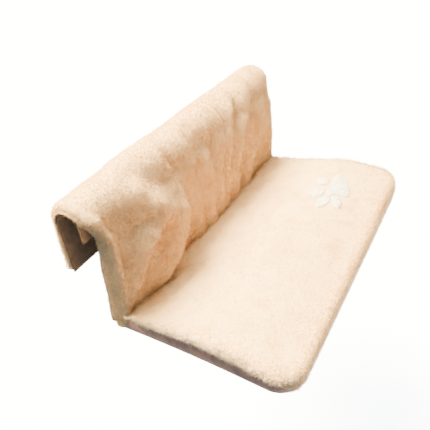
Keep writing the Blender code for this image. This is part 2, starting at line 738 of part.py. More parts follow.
def make_seat_cover():
    """The plush over the seat, the side bands, the lining under it and the rear band."""
    rim = with_rear(seat_edge(0, seat_rear), seat_rear)
    side_count = len(seat_edge(0, seat_rear))
    middle = (seat_rear + front_y) / 2
    inward = 1 - EDGE_ROUND / half_seat
    rows = []
    for share in RING_SHARES + (inward,):
        ring = [(x * share, middle + (y - middle) * share) for x, y in rim]
        rows.append([(x, y, seat_top(x, y)) for x, y in ring])
    drops = [PIPING_DROP if i < side_count else 0 for i in range(len(rim))]
    rows.append(
        [
            (x, y, seat_top(x, y) - drop)
            for (x, y), drop in zip(rim, drops)
        ]
    )
    low = [skirt_z(x, y) for x, y in rim[:side_count]]
    low += [plush_z - SEAT_PLUSH] * (len(rim) - side_count)
    rows.append([(x, y, (seat_top(x, y) - drop + z) / 2) for (x, y), drop, z in zip(rim, drops, low)])
    rows.append([(x, y, z) for (x, y), z in zip(rim, low)])
    cover = skin("seat_cover_top", rows, last_cap=False)
    mod = cover.modifiers.new("cloth", "SOLIDIFY")
    mod.thickness = SEAT_PLUSH
    mod.offset = -1.0
    finish(cover, plush)

    for side, name in ((-1, "left"), (1, "right")):
        make_band(side, name)

    inset = SEAT_PLUSH + 2 * GAP
    rear = rear_face - LINING - GAP
    edge = seat_edge(inset, rear, front=1)
    finish(outline_plate("seat_underside", [edge], under_bottom, under_top), taupe)

    top, low = plush_z - GAP, under_top + GAP
    front = drape_rear + GAP
    section = [(front, top), (rear_face, top), (rear_face, low), (rear_face - LINING, low)]
    section += [(rear_face - LINING, top - LINING), (front, top - LINING)]
    finish(across(section, -rear_band_x, rear_band_x, "seat_rear_band"), taupe)
    return cover


def make_band(side, name):
    """A taupe band along one side, which tapers where the plush comes down at the front."""
    rear = leg_y + fitting_r
    outer = [(-half_seat, rear)] + seat_edge(0, seat_rear)
    inner = [(BAND - half_seat, rear)] + seat_edge(BAND, seat_rear)
    low = under_bottom + GAP
    rings = []
    for (xo, yo), (xi, yi) in zip(outer, inner):
        if xo < 0 and wrap_share(xo, yo) < BAND_END_SHARE:
            high = skirt_z(xo, yo) - GAP
            ring = [(xo, yo, low), (xo, yo, high), (xi, yi, high), (xi, yi, low)]
            rings.append([(-side * x, y, z) for x, y, z in ring])
    finish(skin(f"seat_side_band_{name}", rings), taupe)


def make_back():
    """The folded plush of the back, its lining, its side strips and the ties behind it."""
    top = split_z - GAP
    foot = plush_z + GAP
    rings = []
    for i in range(DRAPE_STEPS + 1):
        x = -half_seat + SEAT_WIDTH * i / DRAPE_STEPS
        ring = [(x, drape_rear, foot), (x, drape_rear, top)]
        for j in range(DRAPE_ROWS + 1):
            z = top + (foot - top) * j / DRAPE_ROWS
            ring.append((x, drape_base - fold(x, z), z))
        rings.append(ring)
    finish(skin("back_drape", rings), plush)

    inside = half_seat - BAND - GAP
    finish(box("back_lining", (-inside, back_front, foot), (inside, back_rear, top)), lining_cloth)
    for side, name in ((-1, "left"), (1, "right")):
        low_x, high_x = sorted((side * (half_seat - BAND), side * half_seat))
        low = (low_x, back_front, piping_z)
        finish(box(f"back_gusset_{name}", low, (high_x, leg_y, top)), plush_side)

        inner, outer = BAR / 2 + GAP, BAR / 2 + GAP + TIE_THICK
        start = back_rear + GAP
        ring = [(start, -outer)] + arc((leg_y, 0), outer, -90, 90, SMALL_SIDES // 2) + [(start, outer)]
        hole = [(start + TIE_THICK, -inner)]
        hole += arc((leg_y, 0), inner, -90, 90, SMALL_SIDES // 2) + [(start + TIE_THICK, inner)]
        tie = outline_plate(f"cover_tie_{name}", [ring, hole], -TIE_WIDTH / 2, TIE_WIDTH / 2)
        turn = Matrix(((0, 0, 1, 0), (1, 0, 0, 0), (0, 1, 0, 0), (0, 0, 0, 1)))
        tie.matrix_world = Matrix.Translation((side * TIE_PLACE, 0, back_bar_z)) @ turn
        finish(tie, taupe)


def make_roll():
    """The plush over the rail with its rear flap, and the lining that lies on the rail."""
    hem = lining_out + GAP
    hem_end = ROLL_END_ROUND + ROLL_END_STEP
    stations = [-half_roll, -half_roll + ROLL_END_ROUND, -half_roll + hem_end]
    inner_end = half_roll - 2 * ROLL_END_ROUND
    stations += [-inner_end + 2 * inner_end * i / ROLL_STEPS for i in range(ROLL_STEPS + 1)]
    stations += [-x for x in reversed(stations[:3])]
    rings = []
    for x in stations:
        end = half_roll - abs(x)
        tuck = ROLL_END_TUCK * (1 - smooth(end / ROLL_END_ROUND))
        inside = hem if end < hem_end - GAP else roll_in
        out = roll_out - tuck
        push = -drape_base - roll_out
        ring = []
        for share in (1.0, 0.5):
            z = split_z * share
            ring.append((x, -out - push * smooth(share) - fold(x, z), z))
        for y, z in arc((0, 0), 1.0, 180, 0, ARCH_POINTS + 2):
            reach = out + fold(x, z * out) * max(-y, 0.0)
            ring.append((x, y * reach, z * reach))
        ring += [(x, out, -FLAP_DROP), (x, hem, -FLAP_DROP)]
        ring += [(x, hem, -FLAP_DROP + FLAP_HEM), (x, inside, -FLAP_DROP + 1.5 * FLAP_HEM)]
        ring += [(x, y, z) for y, z in arc((0, 0), inside, 0, 180, ARCH_POINTS)]
        ring.append((x, -inside, split_z))
        rings.append(ring)
    finish(skin("rail_cover", rings), plush)

    section = [(-lining_out, split_z)] + arc((0, 0), lining_out, 180, 0, ARCH_POINTS)
    section += [(lining_out, -FLAP_DROP), (lining_in, -FLAP_DROP)]
    section += arc((0, 0), lining_in, 0, 180, ARCH_POINTS) + [(-lining_in, split_z)]
    finish(across(section, -half_roll, half_roll, "rail_lining"), lining_cloth)


def rounded(shares, steps):
    """A smooth closed outline through points, by Catmull-Rom curves between them."""
    points = [Vector((x, y, 0)) for x, y in shares]
    count = len(points)
    outline = []
    for i in range(steps):
        place = i * count / steps
        k, t = int(place), place - int(place)
        a, b, c, d = (points[(k + n) % count] for n in (-1, 0, 1, 2))
        p = 2 * b + (c - a) * t + (2 * a - 5 * b + 4 * c - d) * t * t
        p = (p + (3 * b - a - 3 * c + d) * t * t * t) / 2
        outline.append((p.x, p.y))
    return outline


def patch(name, outline, cover):
    """A thin plush patch that lies on the seat: its outline lifted by the cover under it."""
    centre = Vector((sum(x for x, y in outline), sum(y for x, y in outline))) / len(outline)
    levels = []
    for share in (0.5, 1.0):
        row = []
        for x, y in outline:
            px, py = centre.x + (x - centre.x) * share, centre.y + (y - centre.y) * share
            hit, place, _, _ = cover.ray_cast((px, py, 0), (0, 0, -1))
            row.append((px, py, place.z + GAP if hit else seat_top(px, py) + GAP))
        levels.append(row)
    inner, outer = levels
    high_outer = [(x, y, z + PAW_THICK) for x, y, z in outer]
    high_inner = [(x, y, z + PAW_THICK) for x, y, z in inner]
    return skin(name, [inner, outer, high_outer, high_inner])


def make_paw(cover):
    """The plain paw print: one large pad, and four toes in a group."""
    centre_x, centre_y = half_seat - PAW_INSET, front_y + PAW_SETBACK
    shares = rounded(PAW_MAIN_SHARES, PAW_STEPS)
    outline = [(centre_x + PAW_SIZE * x, centre_y + PAW_SIZE * y) for x, y in shares]
    finish(patch("paw_main_pad", outline, cover), white_plush)
    for number, (x, y, long, wide, degrees) in enumerate(PAW_TOE_SHARES, 1):
        turn = math.radians(degrees)
        outline = []
        for px, py in arc((0, 0), 1.0, 0, 360, PAW_STEPS // 2)[:-1]:
            ex, ey = px * long, py * wide
            ox = x + ex * math.cos(turn) - ey * math.sin(turn)
            oy = y + ex * math.sin(turn) + ey * math.cos(turn)
            outline.append((centre_x + PAW_SIZE * ox, centre_y + PAW_SIZE * oy))
        finish(patch(f"paw_toe_{number}", outline, cover), white_plush)


def make_zip():
    """The zip along the rear of the seat, its slider and the pull that hinges on it."""
    tape = rear_face + GAP
    face = tape + ZIP_TAPE_THICK
    low = (-half_zip, tape, zip_z - ZIP_TAPE / 2)
    high = (half_zip, face, zip_z + ZIP_TAPE / 2)
    finish(box("zip_tape", low, high), zip_tape_cloth)

    teeth_y = face + GAP
    count = round((2 * half_zip - 4 * ZIP_STOP) / ZIP_PITCH)
    start = -count * ZIP_PITCH / 2
    rings = []
    for i in range(2 * count + 1):
        x = start + i * ZIP_PITCH / 2
        high = TOOTH_SHARE if i % 2 else 1.0
        reach, out = ZIP_TEETH / 2 * high, teeth_y + ZIP_TEETH_THICK * high
        ring = [(teeth_y, -reach), (teeth_y, reach), (out, reach), (out, -reach)]
        rings.append([(x, y, zip_z + z) for y, z in ring])
    finish(skin("zip_teeth", rings), black_plastic)

    for side, name in ((-1, "left"), (1, "right")):
        low_x, high_x = sorted((side * (GAP - start), side * (GAP - start + ZIP_STOP)))
        low = (low_x, teeth_y, zip_z - ZIP_TEETH / 2)
        high = (high_x, teeth_y + ZIP_TEETH_THICK, zip_z + ZIP_TEETH / 2)
        finish(box(f"zip_stop_{name}", low, high), zinc)

    centre = -start - SLIDER_LENGTH / 2
    inside = teeth_y + ZIP_TEETH_THICK + GAP
    outside = inside + SLIDER_PLATE
    wing, edge = ZIP_TEETH / 2 + GAP, SLIDER_WIDTH / 2
    section = [(outside, -edge), (outside, edge), (teeth_y, edge), (teeth_y, wing)]
    section += [(inside, wing), (inside, -wing), (teeth_y, -wing), (teeth_y, -edge)]
    section = [(y, zip_z + z) for y, z in section]
    slider = across(section, centre - SLIDER_LENGTH / 2, centre + SLIDER_LENGTH / 2, "zip_slider")

    post_r = PULL_EYE / 2
    eye_r = post_r + GAP + PULL_THICK
    post_y = outside + eye_r + GAP
    ear = PULL_WIDTH / 2 + GAP
    post_x = centre
    for end, name in ((-1, "low"), (1, "high")):
        near, far = sorted((end * ear, end * edge))
        corner = (post_x - post_r - GAP, outside - SLIDER_PLATE / 2, zip_z + near)
        high = (post_x + post_r + GAP, post_y + post_r + GAP, zip_z + far)
        cut(slider, cutter(box(f"slider_ear_{name}", corner, high)), "UNION")
    foot = (post_x, post_y, zip_z - ear - GAP)
    post = rod("slider_post", post_r, 2 * (ear + GAP), foot, (0, 0, 1), SMALL_SIDES)
    finish(cut(slider, cutter(post), "UNION"), zinc)

    pull_low = zip_z - PULL_WIDTH / 2
    eye = pipe("zip_pull", eye_r, post_r + GAP, PULL_WIDTH, (post_x, post_y, pull_low))
    inner_x = post_x + post_r + GAP + PULL_THICK / 2
    low = (inner_x, post_y - PULL_THICK / 2, pull_low + GAP)
    high = (post_x + PULL_LENGTH, post_y + PULL_THICK / 2, zip_z + PULL_WIDTH / 2 - GAP)
    finish(cut(eye, cutter(box("pull_plate", low, high)), "UNION"), zinc)


make_hooks()
make_frame()
make_clamps()
make_padding()
seat_cover = make_seat_cover()
make_back()
make_roll()
bpy.context.view_layer.update()
make_paw(seat_cover)
make_zip()
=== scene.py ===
"""Looks of a bedside cat perch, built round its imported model.

The perch is a padded seat that hangs from two hooks inside a padded roll. The cover, the padding, the
linings, the bands and the pile are made here, and the steel and plastic parts get their finishes.
Metres, with the roll's axis along X through the origin, the seat towards -Y and +Z up.
"""

import math

import bpy
import numpy as np
from bpy.props import FloatProperty, FloatVectorProperty, IntProperty, PointerProperty
from mathutils import Matrix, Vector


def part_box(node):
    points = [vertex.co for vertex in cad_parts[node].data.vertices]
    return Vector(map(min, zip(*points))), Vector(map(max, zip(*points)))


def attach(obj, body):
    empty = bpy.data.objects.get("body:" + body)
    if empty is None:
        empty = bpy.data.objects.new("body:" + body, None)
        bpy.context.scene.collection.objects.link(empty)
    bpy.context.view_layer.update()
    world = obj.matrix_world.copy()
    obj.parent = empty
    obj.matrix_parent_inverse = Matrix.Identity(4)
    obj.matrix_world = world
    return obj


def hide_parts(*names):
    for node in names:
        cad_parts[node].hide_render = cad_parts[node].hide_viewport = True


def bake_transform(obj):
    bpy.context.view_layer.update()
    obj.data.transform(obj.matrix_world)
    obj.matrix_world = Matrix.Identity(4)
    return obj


bl_info = {
    "name": "Bedside Cat Perch",
    "version": (1, 0, 0),
    "blender": (4, 5, 0),
    "location": "3D View > Sidebar > Cat Perch",
    "description": "Builds the cover, padding, pile and finishes of a bedside cat perch",
    "category": "Add Mesh",
}

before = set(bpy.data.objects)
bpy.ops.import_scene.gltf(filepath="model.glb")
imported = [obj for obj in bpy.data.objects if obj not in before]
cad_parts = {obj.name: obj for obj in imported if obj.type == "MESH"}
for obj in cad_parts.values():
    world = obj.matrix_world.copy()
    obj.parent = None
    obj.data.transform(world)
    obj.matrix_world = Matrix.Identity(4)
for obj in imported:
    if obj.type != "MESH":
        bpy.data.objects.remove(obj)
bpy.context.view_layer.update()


def corners(node):
    """The lowest and highest corner of a CAD node as arrays."""
    low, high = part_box(node)
    return np.array(low), np.array(high)


ROLL_LOW, ROLL_HIGH = corners("rail_cover")
LINING_LOW, LINING_HIGH = corners("rail_lining")
DRAPE_LOW, DRAPE_HIGH = corners("back_drape")
SEAT_LOW, SEAT_HIGH = corners("seat_cover_top")
UNDER_LOW, UNDER_HIGH = corners("seat_underside")
WAD_LOW, WAD_HIGH = corners("roll_wadding")
BACK_LOW, BACK_HIGH = corners("back_lining")
REAR_BAND_LOW, REAR_BAND_HIGH = corners("seat_rear_band")
TIE_LOW, TIE_HIGH = corners("cover_tie_right")
BAR_LOW, BAR_HIGH = corners("back_cross_bar")
TAPE_LOW, TAPE_HIGH = corners("zip_tape")

# Places that the pieces share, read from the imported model
HALF_ROLL, ROLL_RADIUS, FLAP_END = float(ROLL_HIGH[0]), float(ROLL_HIGH[1]), float(ROLL_LOW[2])
LINING_RADIUS = float(LINING_HIGH[1])
HALF_SEAT, SEAT_LEVEL = float(DRAPE_HIGH[0]), float(DRAPE_LOW[2])
DRAPE_FACE = float(DRAPE_HIGH[1]) - 0.0035
SEAT_REAR, SEAT_FRONT = float(SEAT_HIGH[1]), float(SEAT_LOW[1])
SKIRT_END = float(UNDER_LOW[2]) + 0.0003
FOAM_BOTTOM = float(corners("seat_foam")[0][2]) + 0.0002
PIPING = SEAT_LEVEL - 0.0083

# The seam between the roll's lining and the back's
SEAM_START = (0.0, DRAPE_FACE, -0.020)

# The seat: radius of its front corners, lift of its far one, its sides' waist, its round edge's width
# and drop, its flat strip by the back, and the rings of its top and down to its tucked edge
BEND, FAR_LIFT, WAIST, ROUND_IN, ROUND_DOWN, FLAT_STRIP = 0.0330, 0.013, 0.002, 0.010, 0.006, 0.016
OUTLINE_STEPS, TOP_RINGS, PILE_RINGS, EDGE_RING, EDGE_ROWS = 26, 34, 47, 32, 6

# The side bands: their bulge, the share of the front bend that they go round, and their end behind
# the seat; and the wadding's thickness at its ends and how many rings it takes to fill out
BAND_BULGE, BAND_TURN, BAND_REAR = 0.0013, 0.64, 0.006
WAD_END, WAD_RINGS = 0.72, 3.0

# The cover: rows of its hem, rear, arch and front, points across, the hem's turn, and the gap to the
# lining inside it
HEM_ROWS, REAR_ROWS, ARCH_ROWS, FRONT_ROWS, ACROSS = 6, 21, 36, 86, 236
HEM, LINING_GAP = 0.006, 0.0008

# The cover's sides: how far it stops short of the roll's ends, the strips' swell and least height,
# the drop where it starts to lap the seat, and how far the lap goes out and down and tucks in
ROLL_INSET, STRIP_SWELL, STRIP_LEAST = 0.0015, 0.0016, 0.0006
LAP_START, LAP_OUT, LAP_DOWN, TUCK_IN = -0.120, 0.0012, 0.0265, 0.010

# Unevenness of the cloths, as noises with their height, size and seed
COVER_LUMPS = (0.0011, 0.034, 3), (0.0005, 0.013, 4)
SEAT_LUMPS = (0.0011, 0.045, 11), (0.0005, 0.018, 12)
BAND_PUCKER, BAND_LUMPS = (0.0004, 0.006, 21), (0.0006, 0.022, 22)
ROLL_CREASES, BACK_WAVES = (0.0002, 0.009, 31), (0.00022, 0.016, 32)
UNDER_SAGS = (0.0004, 0.05, 41), (0.0002, 0.016, 42)
BRUSHED = (1, 0.045, 61)
CLUMP_SIZE, CLUMP_SEEDS = 0.007, (51, 52, 53)

# The cover's half width and its side strips' rear edge, at drops below the roll's axis
EDGE_DROPS = (-0.030, -0.012, 0.004, 0.020, 0.040, 0.070, 0.100, 0.125, 0.147)
EDGE_HALVES = (0.2465, 0.2445, 0.2365, 0.2315, 0.2318, 0.2322, 0.2330, 0.2338, 0.2340)
STRIP_DROPS = (0.018, 0.045, 0.075, 0.120, 0.136, 0.147)
STRIP_REARS = (-0.0240, -0.0215, -0.0170, -0.0165, -0.0125, -0.0100)

# The roll's radius at places along it, and the least that it may be over the hooks and past them
ROLL_PLACES = (-0.20, -0.17, -0.135, -0.10, -0.06, -0.02, 0.03, 0.08, 0.13, 0.229, 0.238)
ROLL_HEIGHTS = (0.0306, 0.0316, 0.0330, 0.0340, 0.0314, 0.0304, 0.0314, 0.0310, 0.0302, 0.0300, 0.0276)
ROLL_LEAST, ROLL_THINNER, HOOKS_END = 0.0300, 0.0045, 0.2295

# Wrinkles of the roll: place, lean, height, width, middle and reach, the last two in radians
ROLL_WRINKLES = (
    (-0.228, 0.010, -0.0022, 0.0022, 1.25, 0.40), (-0.212, 0.012, 0.0018, 0.0040, 1.10, 0.55),
    (-0.165, 0.016, -0.0030, 0.0120, 0.75, 0.45), (-0.088, -0.006, -0.0045, 0.0070, 0.35, 0.60),
    (-0.020, 0.020, -0.0034, 0.0150, 0.55, 0.50), (0.105, 0.020, -0.0020, 0.0045, 0.60, 0.60),
    (0.172, 0.022, -0.0024, 0.0040, 0.70, 0.70), (0.214, 0.010, -0.0016, 0.0035, 0.95, 0.60),
)

# Folds of the back from the roll down, in millimetres: points (x, z, height), and the widths to
# lower and to higher x. The hollows are taken away.
BACK_FOLDS = (
    (((-243, 30, 2), (-234, 8, 8), (-227, -20, 10), (-226, -60, 10), (-227, -100, 10),
      (-230, -147, 6)), 16, 9.5),
    (((-195, 14, 5), (-168, -6, 14), (-135, -28, 24), (-104, -50, 31)), 30, 30),
    (((-85, 36, 4), (-96, 20, 10), (-96, 0, 12), (-100, -22, 19), (-101, -50, 31), (-105, -80, 34),
      (-124, -112, 30), (-155, -138, 23), (-192, -148, 8)), 34, 9.5),
    (((-136, -44, 24), (-164, -57, 27), (-180, -68, 26), (-189, -82, 24), (-195, -97, 20),
      (-203, -112, 15), (-214, -125, 10), (-226, -138, 6)), 26, 6),
    (((-40, 30, 4), (-44, -20, 9), (-40, -147, 9)), 22, 18),
    (((10, 20, 2), (2, -60, 12), (-2, -147, 12)), 22, 14),
    (((56, 24, 5), (52, -16, 12), (34, -60, 13), (26, -147, 10)), 20, 6.5),
    (((112, 26, 5), (94, 8, 10), (74, -20, 13), (54, -70, 13), (46, -147, 10)), 18, 5.5),
    (((172, 28, 4), (140, -8, 12), (108, -40, 14), (92, -72, 14), (80, -147, 11)), 22, 5.5),
    (((212, 4, 2), (196, -34, 9), (164, -86, 12), (138, -112, 12), (124, -147, 10)), 24, 5.5),
    (((236, 6, 4), (227, -30, 7), (224, -90, 9), (224, -147, 6)), 22, 16),
)
BACK_HOLLOWS = (
    (((-158, 38, 1), (-148, 22, 6), (-136, 6, 5)), 12, 14),
    (((-20, 36, 1), (4, 0, 4), (22, -40, 4)), 14, 14),
)

# The paw print: its place, its large pad's outline in tenths of a millimetre, and its toes as
# ellipses (x, y, half length, half width, turn in degrees)
PAW_CENTRE = (HALF_SEAT - 0.093, SEAT_FRONT + 0.0785)
PAW_NAMES = ("paw_main_pad", "paw_toe_1", "paw_toe_2", "paw_toe_3", "paw_toe_4")
PAW_MAIN = np.array((
    (348, 96), (285, -18), (180, -120), (18, -222), (-150, -252), (-198, -150), (-204, -48),
    (-285, 18), (-192, 114), (6, 102), (180, 126),
)) / 10000
PAW_TOES = (
    (0.0060, 0.0261, 0.0111, 0.0111, 0), (-0.0261, 0.0249, 0.0132, 0.0108, -42),
    (-0.0459, 0.0069, 0.0152, 0.0078, -19), (-0.0380, -0.0121, 0.0156, 0.0080, 29),
)
PATCH_RINGS = 9

# The pile: tufts on each half of the cover, on the seat, on its edge and on its lip; tufts on a patch
# for each PAW_AREA of its box, and how far the print reaches from its centre; the least that a tuft
# faces out, and how deep its root is sunk; the shares between which lengths and widths are drawn
COVER_TUFTS, SEAT_TUFTS, EDGE_TUFTS, LIP_TUFTS = 46000, 48000, 30000, 20000
PAW_TUFTS, PAW_AREA, PAW_REACH = 1500, 0.0022, 0.08
LEAST_FACING, ROOT_SINK = 0.30, 0.0005
LENGTHS, WIDTHS = (0.6, 1.15), (0.7, 1.3)

# A lie: the tufts' random lean, how far they stand up, and how far they lean in clumps
PLAIN_LIE, SEAT_LIE = (0.30, 0.75, 0.25), (0.12, 0.42, 0.15)
EDGE_LIE, LIP_LIE = (0.4, 0.65, 0.25), (0.42, 0.7, 1.1)

# Finishes of the CAD nodes that stay, by the first letters of their names; the first match counts
HARD_FINISHES = (
    ("zinc_plate", ("frame_screw", "clamp_screw", "zip_slider", "zip_pull", "zip_stop")),
    ("black_moulding", ("hook_sleeve", "hook_tip", "corner_fitting", "clamp_knob", "zip_teeth")),
    ("black_coat", ("hook_", "rear_tie", "rear_cross", "seat_loop", "seat_rib", "back_cross", "upright")),
    ("hardboard", ("seat_board",)),
)

# The camera: azimuth, elevation and roll in degrees, its place, its focal length in pixels of a
# picture of that width, and its sensor in millimetres
VIEW_ANGLES, VIEW_PLACE = (-56.37, 36.23, -6.00), (-0.5284, -0.3965, 0.3289)
FOCAL_PIXELS, PICTURE_PIXELS, SENSOR = 475.4, 430, 36.0
FLOOR_LEVEL, FLOOR_HALF = -0.62, 30


def length_property(name, description, default, low, high):
    """A length that a user would change."""
    return FloatProperty(
        name=name, description=description, default=default, min=low, max=high, unit="LENGTH")


def colour_property(name, description, *default):
    """A colour that a user would change, as linear red, green and blue."""
    return FloatVectorProperty(
        name=name, description=description, default=default, size=3, min=0.0, max=1.0, subtype="COLOR")


class PerchSizes(bpy.types.PropertyGroup):
    """Sizes of the soft pieces that a user would change."""

    pile_length: length_property("Pile length", "How long the plush's tufts are", 0.0052, 0.001, 0.02)
    pile_width: length_property("Tuft width", "How wide a tuft is at its root", 0.00075, 0.0002, 0.004)
    cover_thickness: length_property(
        "Cover thickness", "How thick the plush cloth is", 0.0015, 0.0005, 0.005)
    rim_round: length_property(
        "Rim round", "Radius where the cover turns in at its side edges", 0.0085, 0.002, 0.012)
    lip: length_property("Seat lip", "How far the plush stands over the side bands", 0.003, 0.0, 0.008)
    crown: length_property("Seat crown", "How far the seat swells above its edge", 0.0055, 0.0, 0.015)
    side_rise: length_property(
        "Side rise", "How far the padded sides swell upwards midway", 0.011, 0.0, 0.02)
    cloth_thickness: length_property(
        "Lining thickness", "How thick the woven cloths are", 0.0009, 0.0003, 0.003)
    seed: IntProperty(name="Seed", description="Start of the tufts' scatter", default=7, min=0)


class PerchColours(bpy.types.PropertyGroup):
    """Colours of the finishes, as linear red, green and blue."""

    plush: colour_property("Plush", "Cream pile in the light", 0.89, 0.65, 0.37)
    # The plush's darker tone: random tone in its mottle and between its tufts, and painted shade between
    # its clumps
    plush_tone_and_shade: colour_property("Plush depth", "Cream pile between its tufts", 0.72, 0.475, 0.235)
    white_pile: colour_property("Paw print", "White pile of the paw print", 0.99, 0.99, 0.985)
    band: colour_property("Band", "Taupe cloth of the side bands", 0.59, 0.335, 0.25)
    lining: colour_property("Lining", "Tan cloth of the linings", 0.42, 0.25, 0.14)
    steel: colour_property("Powder coat", "Black coat on the steel", 0.007, 0.007, 0.008)
    plastic: colour_property("Plastic", "Black moulded plastic", 0.009, 0.009, 0.010)
    zinc: colour_property("Zinc", "Zinc plate on the screws and the zip's slider", 0.62, 0.62, 0.64)
    board: colour_property("Board", "Brown hardboard under the foam", 0.30, 0.185, 0.10)
    floor: colour_property("Floor", "Pale floor of the stage", 0.82, 0.89, 0.95)


def build(name, points, faces, material, uv=None):
    """A smooth mesh object from an array of points and arrays of faces with three or four corners."""
    groups = [np.asarray(f, np.int32) for f in (faces if isinstance(faces, list) else [faces])]
    corner = np.concatenate([f.ravel() for f in groups])
    totals = np.concatenate([np.full(len(f), f.shape[1], np.int32) for f in groups])
    starts = np.concatenate([[0], np.cumsum(totals)[:-1]]).astype(np.int32)
    mesh = bpy.data.meshes.new(name)
    mesh.vertices.add(len(points))
    mesh.vertices.foreach_set("co", np.asarray(points, np.float32).ravel())
    mesh.loops.add(len(corner))
    mesh.loops.foreach_set("vertex_index", corner)
    mesh.polygons.add(len(totals))
    mesh.polygons.foreach_set("loop_start", starts)
    mesh.polygons.foreach_set("use_smooth", np.full(len(totals), True))
    if uv is not None:
        layer = mesh.uv_layers.new(name="cloth")
        layer.data.foreach_set("uv", np.asarray(uv, np.float32)[corner].ravel())
    mesh.update(calc_edges=True)
    mesh.validate()
    mesh.materials.append(material)
    obj = bpy.data.objects.new(name, mesh)
    bpy.context.scene.collection.objects.link(obj)
    return obj


def outward(points, groups):
    """The faces as they are, or all turned round when the volume that they enclose is negative."""
    volume = 0.0
    for face in groups:
        for k in range(1, face.shape[1] - 1):
            a, b, c = points[face[:, 0]], points[face[:, k]], points[face[:, k + 1]]
            volume += np.einsum("ij,ij->i", a, np.cross(b, c)).sum()
    return groups if volume >= 0 else [face[:, ::-1] for face in groups]


def quads(rows, columns, around=False, over=False):
    """Faces of a grid of points kept row by row.

    around joins the last column to the first, and over joins the last row to the first.
    """
    i, j = np.meshgrid(np.arange(rows - (not over)), np.arange(columns - (not around)), indexing="ij")
    k, n = (j + 1) % columns, (i + 1) % rows
    corner = [i * columns + j, i * columns + k, n * columns + k, n * columns + j]
    return np.stack(corner, -1).reshape(-1, 4)


def unit(vectors):
    """Vectors divided by their lengths."""
    return vectors / np.maximum(np.linalg.norm(vectors, axis=-1, keepdims=True), 1e-12)


def grid_normals(grid):
    """Unit normals of a grid: the cross product of its steps down the columns and along the rows."""
    return unit(np.cross(np.gradient(grid, axis=0), np.gradient(grid, axis=1)))


def lengths(grid):
    """How far each point of a grid lies along its row and down its column, as a cloth's UV map."""
    down = np.linalg.norm(np.diff(grid, axis=0, prepend=grid[:1]), axis=-1).cumsum(0)
    along = np.linalg.norm(np.diff(grid, axis=1, prepend=grid[:, :1]), axis=-1).cumsum(1)
    return np.stack([along, down], -1).reshape(-1, 2)


def sheet_solid(name, grid, thickness, material):
    """A closed sheet: the grid, and a copy of it moved along its normals, joined at the rim."""
    rows, columns = grid.shape[:2]
    inner = grid - grid_normals(grid) * thickness
    points = np.concatenate([grid.reshape(-1, 3), inner.reshape(-1, 3)])
    face = quads(rows, columns)[:, ::-1]
    count = rows * columns
    edge = np.concatenate([
        np.arange(columns), np.arange(1, rows) * columns + columns - 1,
        (rows - 1) * columns + np.arange(columns - 2, -1, -1), np.arange(rows - 2, 0, -1) * columns,
    ])
    following = np.roll(edge, -1)
    rim = np.stack([edge, following, following + count, edge + count], -1)
    faces = outward(points, [face, face[:, ::-1] + count, rim])
    return build(name, points, faces, material, np.tile(lengths(grid), (2, 1)))


def ring_solid(name, rings, material):
    """A closed body through rings of points, with a middle point at each end."""
    rows, columns = rings.shape[:2]
    points = np.concatenate([rings.reshape(-1, 3), [rings[0].mean(0), rings[-1].mean(0)]])
    j = np.arange(columns)
    k = (j + 1) % columns
    base = (rows - 1) * columns
    first = np.stack([k, j, np.full(columns, rows * columns)], -1)
    last = np.stack([base + j, base + k, np.full(columns, rows * columns + 1)], -1)
    faces = outward(points, [quads(rows, columns, around=True), first, last])
    return build(name, points, faces, material, np.concatenate([lengths(rings), np.zeros((2, 2))]))


def loop_solid(name, rings, material):
    """A closed loop of rings of points, such as a strap that goes round a bar."""
    rows, columns = rings.shape[:2]
    points = rings.reshape(-1, 3)
    faces = outward(points, [quads(rows, columns, around=True, over=True)])
    return build(name, points, faces, material, lengths(rings))


def value_noise(points, size, seed):
    """Smooth noise from -1 to 1 in space: random values on a lattice, joined by smooth steps."""
    side = 32
    lattice = np.random.default_rng(seed).uniform(-1, 1, (side, side, side))
    place = np.asarray(points) / size
    cell = np.floor(place).astype(int)
    part = place - cell
    part = part * part * (3 - 2 * part)
    total = np.zeros(place.shape[:-1])
    for corner in np.ndindex(2, 2, 2):
        share = np.prod(np.where(np.array(corner) == 1, part, 1 - part), axis=-1)
        index = (cell + np.array(corner)) % side
        total += share * lattice[index[..., 0], index[..., 1], index[..., 2]]
    return total


def lumps(points, *layers):
    """A sum of noises, each with its height, its size and its seed."""
    return sum(height * value_noise(points, size, seed) for height, size, seed in layers)


def smooth_step(t):
    """0 below 0, 1 above 1, and a level start and end between."""
    t = np.clip(t, 0.0, 1.0)
    return t * t * (3 - 2 * t)


def squared_off(wave, power):
    """A sine or cosine with its size raised to a power below 1, which makes a circle boxier."""
    return np.sign(wave) * np.abs(wave) ** power


def with_height(flat, height):
    """Points from places (x, y) and heights."""
    return np.concatenate([flat, np.broadcast_to(height, flat.shape[:-1])[..., None]], -1)


def drawn_in(outline, middle, shares):
    """Rings between a middle point and an outline: the outline drawn in to each share."""
    return middle + (outline - middle) * np.asarray(shares)[:, None, None]


def ridge(x, z, path, near, far):
    """A fold along a path of (x, z, height) points that runs from the roll down to the seat.

    Its height changes evenly from point to point, and falls off as a bell from the path, over the
    width near on the side of lower x and over the width far on the other side. Where two stretches
    of the path are about as near, their heights are mixed by how near they are.
    """
    total, share_of = np.zeros(x.shape), np.zeros(x.shape)
    path, near, far = np.array(path) / 1000, near / 1000, far / 1000
    for (ax, az, ah), (bx, bz, bh) in zip(path[:-1], path[1:]):
        dx, dz = bx - ax, bz - az
        share = np.clip(((x - ax) * dx + (z - az) * dz) / (dx * dx + dz * dz), 0, 1)
        away = np.hypot(x - ax - share * dx, z - az - share * dz)
        side = ((x - ax) * dz - (z - az) * dx) / math.hypot(dx, dz)
        width = near + (far - near) * smooth_step(0.5 - side / 0.006)
        weight = np.exp(-away / 0.004) + 1e-30
        total += weight * (ah + (bh - ah) * share) * np.exp(-(away / width) ** 2)
        share_of += weight
    return total / share_of


